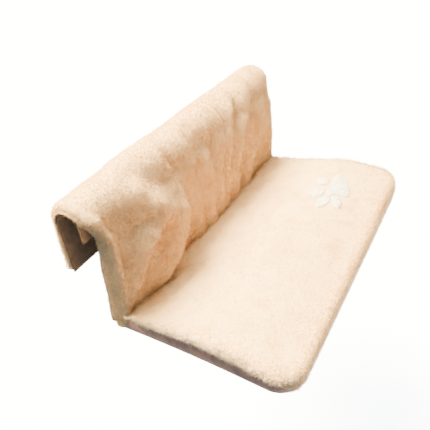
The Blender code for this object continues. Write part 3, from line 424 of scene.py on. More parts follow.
def back_fold(x, z):
    """How far the back's cloth stands out: the smooth maximum of its folds, less its hollows."""
    total = sum(ridge(x, z, *fold) ** 4 for fold in BACK_FOLDS) ** 0.25
    return total - sum(ridge(x, z, *hollow) for hollow in BACK_HOLLOWS)


def roll_wrinkles(x, z, y):
    """Wrinkles of the roll: bells across leaning lines, which fade out round the roll."""
    around = np.arctan2(z, -y)
    total = np.zeros(np.broadcast(x, around).shape)
    for place, lean, height, width, middle, reach in ROLL_WRINKLES:
        centre = place + lean * (around - middle)
        total += height * np.exp(-(((x - centre) / width) ** 2) - ((around - middle) / reach) ** 2)
    return total


def cover_section():
    """The cover's plain section: its places (y, z), and the way out of the cloth at each.

    It runs out along the flap's hem, turns up on a quarter circle, goes up the rear, over the roll
    on a half circle and down the front, where it comes forwards to the back's face.
    """
    bend = np.linspace(-np.pi / 2, 0, 7)
    turn = np.linspace(0, np.pi, ARCH_ROWS)
    hem = np.linspace(LINING_RADIUS + LINING_GAP, ROLL_RADIUS - HEM, HEM_ROWS, endpoint=False)
    rear = np.linspace(FLAP_END + HEM, -0.002, REAR_ROWS + 1)[1:]
    front = np.linspace(-0.0018, SEAT_LEVEL, FRONT_ROWS)
    push = smooth_step(-front / 0.024)
    flat, upright = np.ones(HEM_ROWS), np.ones(REAR_ROWS)
    y = [hem, ROLL_RADIUS - HEM + HEM * np.cos(bend), ROLL_RADIUS * upright,
         ROLL_RADIUS * np.cos(turn), -ROLL_RADIUS - (-DRAPE_FACE - ROLL_RADIUS) * push]
    z = [FLAP_END * flat, FLAP_END + HEM + HEM * np.sin(bend), rear, ROLL_RADIUS * np.sin(turn), front]
    out_y = [0 * flat, np.cos(bend), upright, np.cos(turn), -np.ones(FRONT_ROWS)]
    out_z = [-flat, np.sin(bend), 0 * upright, np.sin(turn), np.zeros(FRONT_ROWS)]
    return (np.concatenate(parts) for parts in (y, z, out_y, out_z))


def cover_height(x, y, z, on_front):
    """How far the cover stands out from its plain section.

    Folds on the front, two noises and the roll's wrinkles are added to the roll's height there, and
    the smooth maximum of that and a floor keeps the cloth clear of the hooks inside.
    """
    high = back_fold(x, z) * on_front
    spot = np.stack([x, z * 0.8, y + np.zeros_like(x)], -1)
    high += lumps(spot, *COVER_LUMPS)
    high += roll_wrinkles(x, z[:, :1], y)
    on_roll = smooth_step((z[:, :1] + 0.035) / 0.030)
    high += (np.interp(x, ROLL_PLACES, ROLL_HEIGHTS) - ROLL_RADIUS) * on_roll
    least = ROLL_LEAST - ROLL_THINNER * smooth_step((x - HOOKS_END) / 0.008)
    floor = (least - ROLL_RADIUS) * on_roll - 0.0018 * (1 - on_roll)
    return floor + (high - floor + np.sqrt((high - floor) ** 2 + 0.0009 ** 2)) / 2


def cover_grid(sizes):
    """Points of the cover: up the rear flap, over the roll and down the folded back, by rows.

    A row is a section along the roll. It starts inside the near edge, turns round it on a quarter
    circle, runs along the roll with the folds added to its height, and turns in at the far edge.
    """
    base_y, base_z, out_y, out_z = cover_section()
    in_hem = smooth_step(-out_z * (base_z < -0.04))
    on_front = smooth_step((-base_y + 0.014) / 0.036) * (out_y < 0.6)
    is_front = base_y < 0
    edge = np.where(is_front, np.interp(-base_z, EDGE_DROPS, EDGE_HALVES), HALF_ROLL - ROLL_INSET)
    strip_rear = np.interp(-base_z, STRIP_DROPS, STRIP_REARS)
    narrow = smooth_step((0.012 - base_z) / 0.030) * is_front
    at_roll = LINING_RADIUS + LINING_GAP - ROLL_RADIUS
    inside = at_roll * (1 - narrow) + (base_y - strip_rear) * narrow
    inside = inside * (1 - in_hem) - (sizes.rim_round + 0.0004) * in_hem

    corner = sizes.rim_round
    span = edge - corner
    x_mid = span[:, None] * np.linspace(-1, 1, ACROSS)
    z_mid = base_z[:, None] + np.zeros_like(x_mid)
    high = cover_height(x_mid, base_y[:, None], z_mid, on_front[:, None])

    across, heights = [x_mid], [high]
    t = np.linspace(0, 1, 11)
    a = np.linspace(0, np.pi / 2, 9)[1:-1]
    for side, column in ((-1, 0), (1, -1)):
        top = high[:, column]
        round_down = np.minimum(corner, top - inside - STRIP_LEAST)
        wall_h = inside[:, None] + (top - round_down - inside)[:, None] * t
        wall_x = edge[:, None] + STRIP_SWELL * np.sin(np.pi * t) + np.zeros_like(wall_h)
        round_h = (top - round_down)[:, None] + round_down[:, None] * np.sin(a)
        round_x = span[:, None] + corner * np.cos(a)
        x = side * np.concatenate([wall_x, round_x], 1)[:, ::-side]
        h = np.concatenate([wall_h, round_h], 1)[:, ::-side]
        across.insert(len(across) * (side > 0), x)
        heights.insert(len(heights) * (side > 0), h)
    x, h = np.concatenate(across, 1), np.concatenate(heights, 1)
    y = base_y[:, None] + h * out_y[:, None]
    z = base_z[:, None] + h * out_z[:, None]

    low = smooth_step((LAP_START - base_z[:, None]) / (LAP_START - SEAT_LEVEL)) * is_front[:, None]
    lap = smooth_step((y + 0.046) / 0.015) * low
    x = x + np.sign(x) * LAP_OUT * lap
    y = y - TUCK_IN * smooth_step((low - 0.55) / 0.45) ** 2 * smooth_step((y + 0.030) / 0.018)
    return np.stack([x, y, z - LAP_DOWN * lap], -1)


def seat_share(y):
    """0 at the flat strip by the back, 1 at the front edge."""
    rear = SEAT_REAR - FLAT_STRIP
    return np.clip((rear - y) / (rear - SEAT_FRONT), 0, 1)


def side_swell(y, sizes):
    """How far the padded sides swell upwards: a sine between their ends, fuller towards the front."""
    return sizes.side_rise * np.abs(np.sin(np.pi * seat_share(y) ** 1.2))


def side_half(y):
    """Half the seat's width: drawn in by a sine between the rear and the front corners."""
    share = np.clip((SEAT_REAR - y) / (SEAT_REAR - (SEAT_FRONT + BEND)), 0, 1)
    return HALF_SEAT - WAIST * np.sin(np.pi * share)


def seat_height(x, y, sizes):
    """Height of the seat: its level, the swell of its sides, a crown and slight hollows."""
    flat = 1 - np.minimum(np.abs(x) / HALF_SEAT, 1) ** 4
    crown = sizes.crown * flat * np.abs(np.sin(np.pi * seat_share(y)))
    spot = np.stack([x, y, np.zeros_like(x)], -1)
    waves = lumps(spot, *SEAT_LUMPS)
    calm = smooth_step((SEAT_REAR - y) / 0.02)
    lift = FAR_LIFT * smooth_step((x - 0.05) / 0.17) * smooth_step((SEAT_REAR - 0.05 - y) / 0.15)
    return SEAT_LEVEL - 0.0003 + side_swell(y, sizes) + crown + lift + waves * calm


def seat_outline(inset, rear, count):
    """The seat's outline round its front, from the rear left to the rear right corner, then back.

    Its front corners are quarter circles, and each piece of it has a share of the points.
    """
    side_end, centre = SEAT_FRONT + BEND, HALF_SEAT - BEND
    side_y = np.linspace(rear, side_end, count, endpoint=False)
    side_x = side_half(side_y) - inset
    a = np.linspace(0, np.pi / 2, count, endpoint=False)
    cosine, sine = (BEND - inset) * np.cos(a), (BEND - inset) * np.sin(a)
    front_x = np.linspace(-centre, centre, 2 * count, endpoint=False)
    back_x = np.linspace(side_x[0], -side_x[0], 2 * count + 1)[1:-1]
    x = [-side_x, -centre - cosine, front_x, centre + sine, side_x[::-1], back_x]
    y = [side_y, side_end - sine, np.full(len(front_x), SEAT_FRONT + inset), side_end - cosine,
         side_y[::-1], np.full(len(back_x), rear)]
    return np.stack([np.concatenate(x), np.concatenate(y)], -1)


def wrap_share(x, y):
    """0 along the seat's sides and 1 where the plush goes down over the front edge."""
    turn = np.arctan2(SEAT_FRONT + BEND - y, np.maximum(np.abs(x) - HALF_SEAT + BEND, 1e-6))
    return np.where(y > SEAT_FRONT + BEND, 0.0, smooth_step(turn / (np.pi / 2) / 0.8))


def seat_rings(sizes):
    """Rings of the seat's cushion: from its middle over its round edge, down the plush's skirt, and
    back under it to the middle of its flat bottom."""
    rim = seat_outline(0, SEAT_REAR, OUTLINE_STEPS)
    inner = seat_outline(ROUND_IN, SEAT_REAR - ROUND_IN, OUTLINE_STEPS)
    middle = np.array([0.0, (SEAT_REAR + SEAT_FRONT) / 2])
    flat = drawn_in(inner, middle, [*np.linspace(0.03, 0.97, TOP_RINGS), 1.0])
    top = with_height(flat, seat_height(flat[..., 0], flat[..., 1], sizes))

    at_front = wrap_share(rim[:, 0], rim[:, 1])
    at_rear = (rim[:, 1] > SEAT_REAR - 1e-5).astype(float)
    lower = SEAT_LEVEL - 0.008 + side_swell(rim[:, 1], sizes)
    lower = lower * (1 - at_front) + SKIRT_END * at_front
    lower = lower * (1 - at_rear) + (SEAT_LEVEL - 0.003) * at_rear
    away = unit(rim - inner)
    lip = sizes.lip * (1 - at_rear)
    a = np.linspace(0, np.pi / 2, 8)[1:, None]
    out = (ROUND_IN + lip) * np.sin(a)
    edge = with_height(inner + away * out[..., None], top[-1, :, 2] - ROUND_DOWN * (1 - np.cos(a)))

    start = edge[-1]
    t = np.linspace(0, 1, 5)[1:, None]
    out = start[:, :2] - away * (lip * t ** 2)[..., None] + away * (0.001 * np.sin(np.pi * t))[..., None]
    skirt = with_height(out, start[:, 2] + (lower - start[:, 2]) * t)

    tucked = with_height(seat_outline(0.0030, SEAT_REAR - 0.0030, OUTLINE_STEPS)[None], lower)
    under = seat_outline(0.0036, SEAT_REAR - 0.0036, OUTLINE_STEPS)
    under = with_height(drawn_in(under, middle, (1, 0.8, 0.5, 0.2, 0.05)), FOAM_BOTTOM)
    return np.concatenate([top, edge, skirt, tucked, under])


def band_grid(side, sizes):
    """Points of a side band: the seat's outline from the rear to the front bend, by heights.

    Its upper edge follows the piping, and goes down where the plush wraps the front. It bulges a
    little between its seams, and puckers where it is sewn to the plush.
    """
    straight = np.linspace(SEAT_REAR + BAND_REAR, SEAT_FRONT + BEND, 110, endpoint=False)
    a = np.linspace(0, np.pi / 2 * BAND_TURN, 30)
    x = np.concatenate([side_half(straight), HALF_SEAT - BEND + BEND * np.cos(a)])
    y = np.concatenate([straight, SEAT_FRONT + BEND - BEND * np.sin(a)])
    out_x = np.concatenate([np.ones(len(straight)), np.cos(a)])
    out_y = np.concatenate([np.zeros(len(straight)), -np.sin(a)])
    piping = PIPING + side_swell(y, sizes)
    high = piping + (SKIRT_END - piping) * wrap_share(x, y) - 0.0004
    t = np.linspace(0, 1, 14)[:, None]
    z = SKIRT_END + (high - SKIRT_END) * t
    along = np.stack([x + 0 * t, y + 0 * t, z], -1)
    pucker = lumps(along * (1, 1, 0.35), BAND_PUCKER) * t ** 2
    bulge = BAND_BULGE * np.sin(np.pi * t) ** 0.7 + pucker
    bulge += lumps(along * (1, 1, 0.6), BAND_LUMPS) * np.sin(np.pi * t)
    bulge *= smooth_step((SEAT_REAR + 0.004 - y) / 0.020)
    return np.stack([side * (x + out_x * bulge), y + out_y * bulge, z], -1)


def over_roll(rear, turn, front):
    """A section over the roll, up a leg, over a half circle and down a leg: heights and ways out."""
    base_z = np.concatenate([rear, 0 * turn, front])
    out_y = np.concatenate([np.ones(len(rear)), np.cos(turn), -np.ones(len(front))])
    out_z = np.concatenate([0 * rear, np.sin(turn), 0 * front])
    return base_z[:, None], out_y[:, None], out_z[:, None]


def wadding_rings():
    """Rings of the roll's wadding: a boxy ellipse with shallow ribs, carried over the arch.

    Its thickness shrinks over the last three rings at each end.
    """
    low, high = LINING_RADIUS + 0.0006, float(WAD_HIGH[1]) - 0.0010
    base_z, out_y, out_z = over_roll(
        np.linspace(WAD_LOW[2], -0.004, 12), np.linspace(0, np.pi, 30), np.linspace(-0.003, -0.0195, 6))
    a = np.linspace(0, 2 * np.pi, 56, endpoint=False)
    x = float(WAD_HIGH[0]) * squared_off(np.cos(a), 0.35)
    ring = np.arange(len(base_z))
    puff = (WAD_END + (1 - WAD_END) * smooth_step(np.minimum(ring, ring[::-1]) / WAD_RINGS))[:, None]
    ribs = 1 - 0.06 * np.cos(x / 0.018)
    reach = (low + high) / 2 + squared_off(np.sin(a), 0.55) * (high - low) / 2 * puff * ribs
    return np.stack([np.broadcast_to(x, reach.shape), out_y * reach, base_z + out_z * reach], -1)


def roll_lining_grid():
    """Points of the lining inside the roll: an arch with two legs, with fine creases across it."""
    base_z, out_y, out_z = over_roll(
        np.linspace(LINING_LOW[2] + 0.0006, -0.001, 26), np.linspace(0, np.pi, 40),
        np.linspace(-0.001, SEAM_START[2], 8))
    x = np.linspace(-HALF_ROLL + ROLL_INSET, HALF_ROLL - ROLL_INSET, 150)
    spot = np.stack(np.broadcast_arrays(x, base_z * 0.4, out_y * 0.02), -1)
    reach = LINING_RADIUS - 0.0002 + lumps(spot, ROLL_CREASES)
    return np.stack([np.broadcast_to(x, reach.shape), out_y * reach, base_z + out_z * reach], -1)


def upright_grid(low, high, across, rows):
    """Even places x and z over the front of a box."""
    return np.meshgrid(np.linspace(low[0], high[0], across), np.linspace(low[2], high[2], rows))


def back_lining_grid():
    """Points of the lining behind the back: an upright sheet with slight waves."""
    x, z = upright_grid(BACK_LOW, BACK_HIGH, 150, 50)
    y = BACK_HIGH[1] - 0.0002 + lumps(np.stack([x, z * 0.35, 0 * x], -1), BACK_WAVES)
    return np.stack([x, y, z], -1)


def underside_rings():
    """Rings of the cloth under the seat: out from its middle with slight sags, and back inside."""
    out = np.linspace(0.03, 1.0, 34)
    edge = np.concatenate([out, out[::-1]])
    rim = seat_outline(HALF_SEAT - UNDER_HIGH[0], float(UNDER_HIGH[1]), 30)
    flat = drawn_in(rim, np.array([0.0, (UNDER_HIGH[1] + UNDER_LOW[1]) / 2]), edge)
    sag = lumps(with_height(flat, 0.0), *UNDER_SAGS)
    z = UNDER_LOW[2] + 0.0004 + sag * (1 - edge[:, None] ** 6)
    z[len(out):] = z[:len(out)][::-1] + 0.0007
    return with_height(flat, z)


def rear_band_grid():
    """Points of the rear band: forwards from the back's foot, round an edge and down the rear."""
    (_, front, low), (_, rear, top) = REAR_BAND_LOW, REAR_BAND_HIGH
    bend = 0.0022
    a = np.linspace(0, np.pi / 2, 6)
    y = [np.linspace(front, rear - bend, 7)[:-1], rear - bend + bend * np.sin(a), np.full(11, rear)]
    z = [np.full(6, top), top - bend + bend * np.cos(a), np.linspace(top - bend, low, 12)[1:]]
    x = np.linspace(REAR_BAND_HIGH[0], REAR_BAND_LOW[0], 130)
    y, z = np.concatenate(y)[:, None], np.concatenate(z)[:, None]
    return np.stack(np.broadcast_arrays(x, y, z), -1)


def tie_rings(side):
    """Rings of a tie: a strap's rounded section, carried round the bar and back to the lining."""
    half_strap, bend = 0.0004, 0.0008
    centre_y, centre_z = (BAR_LOW[1:] + BAR_HIGH[1:]) / 2
    radius = (BAR_HIGH[2] - BAR_LOW[2]) / 2 + 0.0003 + half_strap
    rest = TIE_LOW[1] + half_strap
    a = np.linspace(-np.pi / 2, np.pi / 2, 22)
    b = np.linspace(0, np.pi / 2, 5)[1:]
    upper_y = np.concatenate([
        np.linspace(centre_y, TIE_LOW[1] + 0.0012, 8)[1:], rest + bend - bend * np.sin(b)])
    upper_z = np.concatenate([np.full(7, radius), radius - bend + bend * np.cos(b)])
    down_z = np.linspace(upper_z[-1], -upper_z[-1], 10)[1:-1]
    y = np.concatenate([centre_y + radius * np.cos(a), upper_y, np.full(8, rest), upper_y[::-1]])
    z = np.concatenate([radius * np.sin(a), upper_z, down_z, -upper_z[::-1]]) + centre_z
    path = np.stack([y, z], -1)
    ahead = unit(np.roll(path, -1, 0) - np.roll(path, 1, 0))
    normal = np.stack([ahead[:, 1], -ahead[:, 0]], -1)
    c = np.linspace(0, 2 * np.pi, 20, endpoint=False)
    across = (TIE_HIGH[0] - TIE_LOW[0]) / 2 * squared_off(np.cos(c), 0.3)
    through = half_strap * squared_off(np.sin(c), 0.6)
    place = path[:, None] + normal[:, None] * through[:, None]
    x = side * (TIE_HIGH[0] + TIE_LOW[0]) / 2 + np.broadcast_to(across, place.shape[:2])
    return np.concatenate([x[..., None], place], -1)


def tape_grid():
    """Points of the zip's tape: an upright strip with a fine ripple along it."""
    x, z = upright_grid(TAPE_LOW, TAPE_HIGH, 160, 14)
    return np.stack([x, TAPE_HIGH[1] - 0.0001 + 0.00005 * np.sin(x / 0.0016), z], -1)


def smooth_outline(corner, count):
    """A smooth closed outline through corner points, by a periodic cubic through four at a time."""
    place = np.linspace(0, len(corner), count, endpoint=False)
    k = place.astype(int)
    t = (place - k)[:, None]
    a, b, c, d = (corner[(k + n) % len(corner)] for n in (-1, 0, 1, 2))
    square, cube = 2 * a - 5 * b + 4 * c - d, 3 * b - a - 3 * c + d
    return (2 * b + (c - a) * t + square * t ** 2 + cube * t ** 3) / 2


def patch_rings(outline, sizes):
    """Rings of a plush patch: its outline drawn in to its middle, crowned, on the seat's surface."""
    out = np.linspace(0.08, 1.0, PATCH_RINGS)
    shares = np.concatenate([out, out[::-1]])
    flat = drawn_in(outline, outline.mean(0), shares)
    crown = 0.0018 * (1 - shares[:, None] ** 4) ** 0.5 + 0.0002
    crown[PATCH_RINGS:] = 0.0
    return with_height(flat, seat_height(flat[..., 0], flat[..., 1], sizes) + 0.0002 + crown)


def paw_outlines():
    """The outlines of the paw print on the seat: one large pad, and four toes as turned ellipses."""
    shapes = [smooth_outline(PAW_MAIN[::-1], 88)]
    a = np.linspace(0, 2 * np.pi, 48, endpoint=False)
    for x, y, long, wide, degrees in PAW_TOES:
        turn = math.radians(degrees)
        ex, ey = long * np.cos(a), wide * np.sin(a)
        shapes.append(np.stack([x + ex * math.cos(turn) - ey * math.sin(turn),
                                y + ex * math.sin(turn) + ey * math.cos(turn)], -1))
    return [shape + PAW_CENTRE for shape in shapes]


def off_paw(at):
    """True at places outside the paw print, by counting the edges that a ray from each crosses."""
    flat = at[..., :2].reshape(-1, 2)
    found = np.zeros(len(flat), bool)
    near = np.flatnonzero(np.hypot(*(flat - PAW_CENTRE).T) < PAW_REACH)
    x, y = flat[near].T[..., None]
    for shape in paw_outlines():
        (ax, ay), (bx, by) = shape.T, np.roll(shape, -1, 0).T
        spans = (ay > y) != (by > y)
        cut = ax + (y - ay) * (bx - ax) / np.where(by == ay, 1e-12, by - ay)
        found[near] |= (spans & (x < cut)).sum(1) % 2 == 1
    return ~found.reshape(at.shape[:-1])


def scatter(grid, count, rng, weigh=None):
    """Random places on a grid, spread by its area: places, normals and the way down its columns.

    A place is mixed from the four corners of a cell that is drawn by its area times its weight.
    """
    a, b, c, d = grid[:-1, :-1], grid[:-1, 1:], grid[1:, :-1], grid[1:, 1:]
    share = np.linalg.norm(np.cross(b - a, c - a) + np.cross(c - d, b - d), axis=-1)
    if weigh is not None:
        share = share * weigh((a + b + c + d) / 4)
    pick = rng.choice(share.size, count, p=(share / share.sum()).ravel())
    i, j = np.unravel_index(pick, share.shape)
    u, v = rng.random((2, count, 1))

    def mix(values):
        """Values at the places, mixed from the corners of each cell by its shares u and v."""
        return ((values[i, j] * (1 - u) + values[i, j + 1] * u) * (1 - v)
                + (values[i + 1, j] * (1 - u) + values[i + 1, j + 1] * u) * v)

    return mix(grid), unit(mix(grid_normals(grid))), unit(c - a)[i, j]


def make_tufts(name, place, normal, comb, size, lie, rng, material):
    """Tufts of pile: slender closed wedges of four faces, each leaning the way it is combed.

    A tuft's tip is its root plus its length along the normal, the combed direction, the lean of its
    clump and a random lean, and its root is a triangle across that way, sunk a little into the cloth.
    """
    length, width = size
    spread, stand, clumps = lie
    count = len(place)
    clump = np.stack([value_noise(place, CLUMP_SIZE, seed) for seed in CLUMP_SEEDS], -1)
    way = unit(normal * stand + comb + clumps * clump + rng.normal(0, spread, (count, 3)))
    facing = np.einsum("ij,ij->i", way, normal)
    way = unit(way + normal * np.maximum(LEAST_FACING - facing, 0)[:, None])
    side = unit(np.cross(way, rng.normal(0, 1, (count, 3))))
    other = np.cross(way, side)
    long = length * rng.uniform(*LENGTHS, count)[:, None]
    wide = width * rng.uniform(*WIDTHS, count)[:, None] / 2
    root = place - normal * ROOT_SINK
    points = np.stack([
        root + side * wide, root - side * wide / 2 + other * wide * 0.87,
        root - side * wide / 2 - other * wide * 0.87, root + way * long,
    ], 1)
    shape = np.array([[0, 2, 1], [0, 1, 3], [1, 2, 3], [2, 0, 3]])
    faces = (shape[None] + 4 * np.arange(count)[:, None, None]).reshape(-1, 3)
    return build(name, points.reshape(-1, 3), faces, material)


def feed(tree, node, inputs):
    """Set a node's inputs by name or number: a socket is joined to its input, and a value is set."""
    for key, value in inputs.items():
        if isinstance(value, bpy.types.NodeSocket):
            tree.links.new(value, node.inputs[key])
        else:
            node.inputs[key].default_value = value


def add(tree, kind, inputs, **fields):
    """A node of a kind, with its inputs fed and its fields set."""
    node = tree.nodes.new(kind)
    for key, value in fields.items():
        setattr(node, key, value)
    feed(tree, node, inputs)
    return node


def nodes_of(name):
    """A new material, its tree, its shader and its Object coordinates."""
    mat = bpy.data.materials.new(name)
    mat.use_nodes = True
    tree = mat.node_tree
    place = tree.nodes.new("ShaderNodeTexCoord").outputs["Object"]
    return mat, tree, tree.nodes["Principled BSDF"], place


def calculate(tree, operation, *inputs):
    """The result of a sum or product of numbers and sockets."""
    return add(tree, "ShaderNodeMath", dict(enumerate(inputs)), operation=operation).outputs[0]


def ramp(tree, source, *stops):
    """A colour ramp from (place, colour) stops."""
    node = add(tree, "ShaderNodeValToRGB", {"Fac": source})
    elements = node.color_ramp.elements
    for element, (place, rgb) in zip(elements, (stops[0], stops[-1])):
        element.position, element.color = place, (*rgb, 1)
    for place, rgb in stops[1:-1]:
        elements.new(place).color = (*rgb, 1)
    return node.outputs["Color"]


def noise(tree, vector, scale, detail, rough, distort=0.0):
    """A noise texture's value at a number of spots in a metre."""
    return add(tree, "ShaderNodeTexNoise", {
        "Vector": vector, "Scale": scale, "Detail": detail, "Roughness": rough, "Distortion": distort,
    }).outputs["Fac"]


def bump(tree, height, strength, distance, **before):
    """A bump of a height, over an earlier bump when one is given as Normal."""
    inputs = {"Height": height, "Strength": strength, "Distance": distance, **before}
    return add(tree, "ShaderNodeBump", inputs).outputs["Normal"]


def shade(rgb, share):
    """A colour times a share, at most white."""
    return tuple(min(c * share, 1) for c in rgb)


def between(deep, light, share):
    """A colour that is a share of the way from a deep to a light one."""
    return tuple(d + (l - d) * share for d, l in zip(deep, light))


def plush_finish(name, light, deep):
    """Plush: mottled where the pile lies another way, with painted shade darker between its clumps, and
    soft.
    """
    mat, tree, shader, place = nodes_of(name)
    patch = noise(tree, place, 34, 3, 0.6, 0.4)
    clump = noise(tree, place, 260, 4, 0.62, 0.8)
    hair = noise(tree, place, 900, 2, 0.6)
    # Painted shade: the clump noise darkens the colour between the clumps, over the broad mottle of random
    # tone
    mottle = calculate(tree, "MULTIPLY_ADD", clump, 0.35, patch)
    feed(tree, shader, {
        "Base Color": ramp(tree, mottle, (0.48, deep), (0.64, between(deep, light, 0.62)), (0.80, light)),
        "Normal": bump(tree, hair, 0.35, 0.0008, Normal=bump(tree, clump, 0.55, 0.0022)),
        "Roughness": 0.95, "Specular IOR Level": 0.15,
        "Sheen Weight": 0.3, "Sheen Roughness": 0.45, "Sheen Tint": (*light, 1),
    })
    return mat


def tuft_finish(name, light, deep):
    """Tufts: a little lighter and darker from place to place, by three noises, and soft."""
    mat, tree, shader, place = nodes_of(name)
    total = noise(tree, place, 10, 3, 0.5, 1.2)
    for scale, share in ((34, 0.40), (650, 0.55)):
        total = calculate(tree, "MULTIPLY_ADD", noise(tree, place, scale, 3, 0.6, 0.8), share, total)
    tone = calculate(tree, "MULTIPLY", total, 0.5)
    feed(tree, shader, {
        "Base Color": ramp(tree, tone, (0.42, between(deep, light, 0.15)), (0.54, light)),
        "Roughness": 0.9, "Specular IOR Level": 0.2,
        "Sheen Weight": 0.3, "Sheen Roughness": 0.4, "Sheen Tint": (*light, 1),
    })
    return mat


def woven_finish(name, rgb, threads=900):
    """Plain weave that follows the cloth: two sets of bands across each other raise its threads."""
    mat, tree, shader, place = nodes_of(name)
    cloth = add(tree, "ShaderNodeUVMap", {}, uv_map="cloth").outputs["UV"]
    bands = [
        add(tree, "ShaderNodeTexWave", {"Vector": cloth, "Scale": threads / 6.28, "Distortion": 0.4},
            wave_type="BANDS", bands_direction=way).outputs["Fac"] for way in ("X", "Y")
    ]
    weave = calculate(tree, "MULTIPLY", *bands)
    tone = calculate(tree, "MULTIPLY_ADD", weave, 0.35, noise(tree, place, 60, 4, 0.6))
    feed(tree, shader, {
        "Base Color": ramp(tree, tone, (0.35, shade(rgb, 0.70)), (0.6, rgb), (0.9, shade(rgb, 1.25))),
        "Normal": bump(tree, weave, 0.6, 0.0003), "Roughness": 0.88, "Sheen Weight": 0.15,
    })
    return mat


def coated_finish(name, rgb, rough, grain, depth, metallic=0.0):
    """A hard finish: fine grain in its bump, and a roughness that changes where it is handled."""
    mat, tree, shader, place = nodes_of(name)
    fine, broad = noise(tree, place, grain, 3, 0.6), noise(tree, place, 45, 3, 0.5)
    handled = add(tree, "ShaderNodeMapRange", {
        "Value": broad, "From Min": 0.3, "From Max": 0.7, "To Min": rough * 0.85, "To Max": rough * 1.2})
    feed(tree, shader, {
        "Base Color": ramp(tree, broad, (0.3, shade(rgb, 0.825)), (0.5, rgb), (0.72, shade(rgb, 1.35))),
        "Roughness": handled.outputs["Result"], "Normal": bump(tree, fine, 0.25, depth),
        "Metallic": metallic, "Specular IOR Level": 0.5 if metallic else 0.25,
    })
    return mat


def fibre_finish(name, rgb):
    """Hardboard or wadding: short fibres that lie every way in its plane."""
    mat, tree, shader, place = nodes_of(name)
    stretch = add(tree, "ShaderNodeMapping", {"Vector": place, "Scale": (1.0, 3.2, 1.0)})
    fibre = noise(tree, stretch.outputs["Vector"], 420, 5, 0.7, 1.5)
    feed(tree, shader, {
        "Base Color": ramp(tree, fibre, (0.32, shade(rgb, 0.62)), (0.52, rgb), (0.75, shade(rgb, 1.3))),
        "Normal": bump(tree, fibre, 0.3, 0.0003), "Roughness": 0.85,
    })
    return mat


def finish_named(name):
    """The finish of a name, made from the colours at its first use."""
    found = bpy.data.materials.get(name)
    if found:
        return found
    c = bpy.context.scene.perch_colours
    # Painted light: paler, greyer copies of the plush colours for the lip's tufts stand in for light on
    # their tips on the shaded sides
    pale = (tuple(v * 0.6 + 0.38 for v in tone) for tone in (c.plush, c.plush_tone_and_shade))
    finishes = {
        "cream_pile": (plush_finish, c.plush, c.plush_tone_and_shade),
        "cream_tufts": (tuft_finish, c.plush, c.plush_tone_and_shade),
        "pale_tufts": (tuft_finish, *pale),
        "white_tufts": (tuft_finish, c.white_pile, shade(c.white_pile, 0.85)),
        # The paw's white pile gets the same painted shade between its clumps, from its white made darker
        "white_pile": (plush_finish, c.white_pile, shade(c.white_pile, 0.8)),
        "taupe_weave": (woven_finish, c.band),
        "tan_weave": (woven_finish, c.lining, 1100),
        "tape_weave": (woven_finish, shade(c.band, 0.7), 1500),
        "black_coat": (coated_finish, c.steel, 0.42, 1600, 0.0002),
        "black_moulding": (coated_finish, c.plastic, 0.5, 2600, 0.0001),
        "zinc_plate": (coated_finish, c.zinc, 0.3, 3200, 0.00005, 1.0),
        "hardboard": (fibre_finish, c.board),
        "white_wadding": (fibre_finish, (0.82, 0.82, 0.80)),
    }
    maker, *values = finishes[name]
    return maker(name, *values)


def stand_for(piece, slot, *nodes):
    """Let a piece stand for the CAD nodes that are named, which are hidden; the slot is not used."""
    if nodes:
        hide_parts(*nodes)


def ride_on(piece, body, slot, *nodes):
    """Let a piece that stands for CAD nodes ride on a body."""
    stand_for(piece, slot, *nodes)
    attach(piece, body)


def stretch_over(piece, slot, *nodes):
    """Let a piece that stands for CAD nodes, and spans from the hooks to the seat, ride on no body, with
    its place baked into its mesh.
    """
    stand_for(piece, slot, *nodes)
    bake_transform(piece)


class PERCH_OT_cover(bpy.types.Operator):
    """Make the plush cover: the rear flap, the roll and the folded back"""

    bl_idname = "perch.cover"
    bl_label = "Plush cover"

    def execute(self, context):
        sizes = context.scene.perch_sizes
        cloth = finish_named("cream_pile")
        cover = sheet_solid("plush_cover", cover_grid(sizes), sizes.cover_thickness, cloth)
        stretch_over(
            cover, "cream_plush", "rail_cover", "back_drape", "back_gusset_left", "back_gusset_right")
        return {"FINISHED"}


class PERCH_OT_seat(bpy.types.Operator):
    """Make the padded seat: foam under plush with a round edge and a skirt over the front"""

    bl_idname = "perch.seat"
    bl_label = "Padded seat"

    def execute(self, context):
        rings = seat_rings(context.scene.perch_sizes)
        seat = ring_solid("seat_cushion", rings, finish_named("cream_pile"))
        ride_on(seat, "seat_frame", "cream_plush", "seat_cover_top", "seat_foam")
        return {"FINISHED"}


class PERCH_OT_linings(bpy.types.Operator):
    """Make the tan linings inside the roll and behind the back"""

    bl_idname = "perch.linings"
    bl_label = "Linings"

    def execute(self, context):
        thin = context.scene.perch_sizes.cloth_thickness * 0.8
        tan = finish_named("tan_weave")
        arch = sheet_solid("rail_lining_cloth", roll_lining_grid(), thin, tan)
        ride_on(arch, "hook_frame", "tan_lining", "rail_lining")
        back = sheet_solid("back_lining_cloth", back_lining_grid(), thin, tan)
        stretch_over(back, "tan_lining", "back_lining")
        return {"FINISHED"}


class PERCH_OT_wadding(bpy.types.Operator):
    """Make the wadding that pads the roll"""

    bl_idname = "perch.wadding"
    bl_label = "Roll wadding"

    def execute(self, context):
        pad = ring_solid("roll_wadding_pad", wadding_rings(), finish_named("white_wadding"))
        ride_on(pad, "hook_frame", "wadding", "roll_wadding")
        return {"FINISHED"}


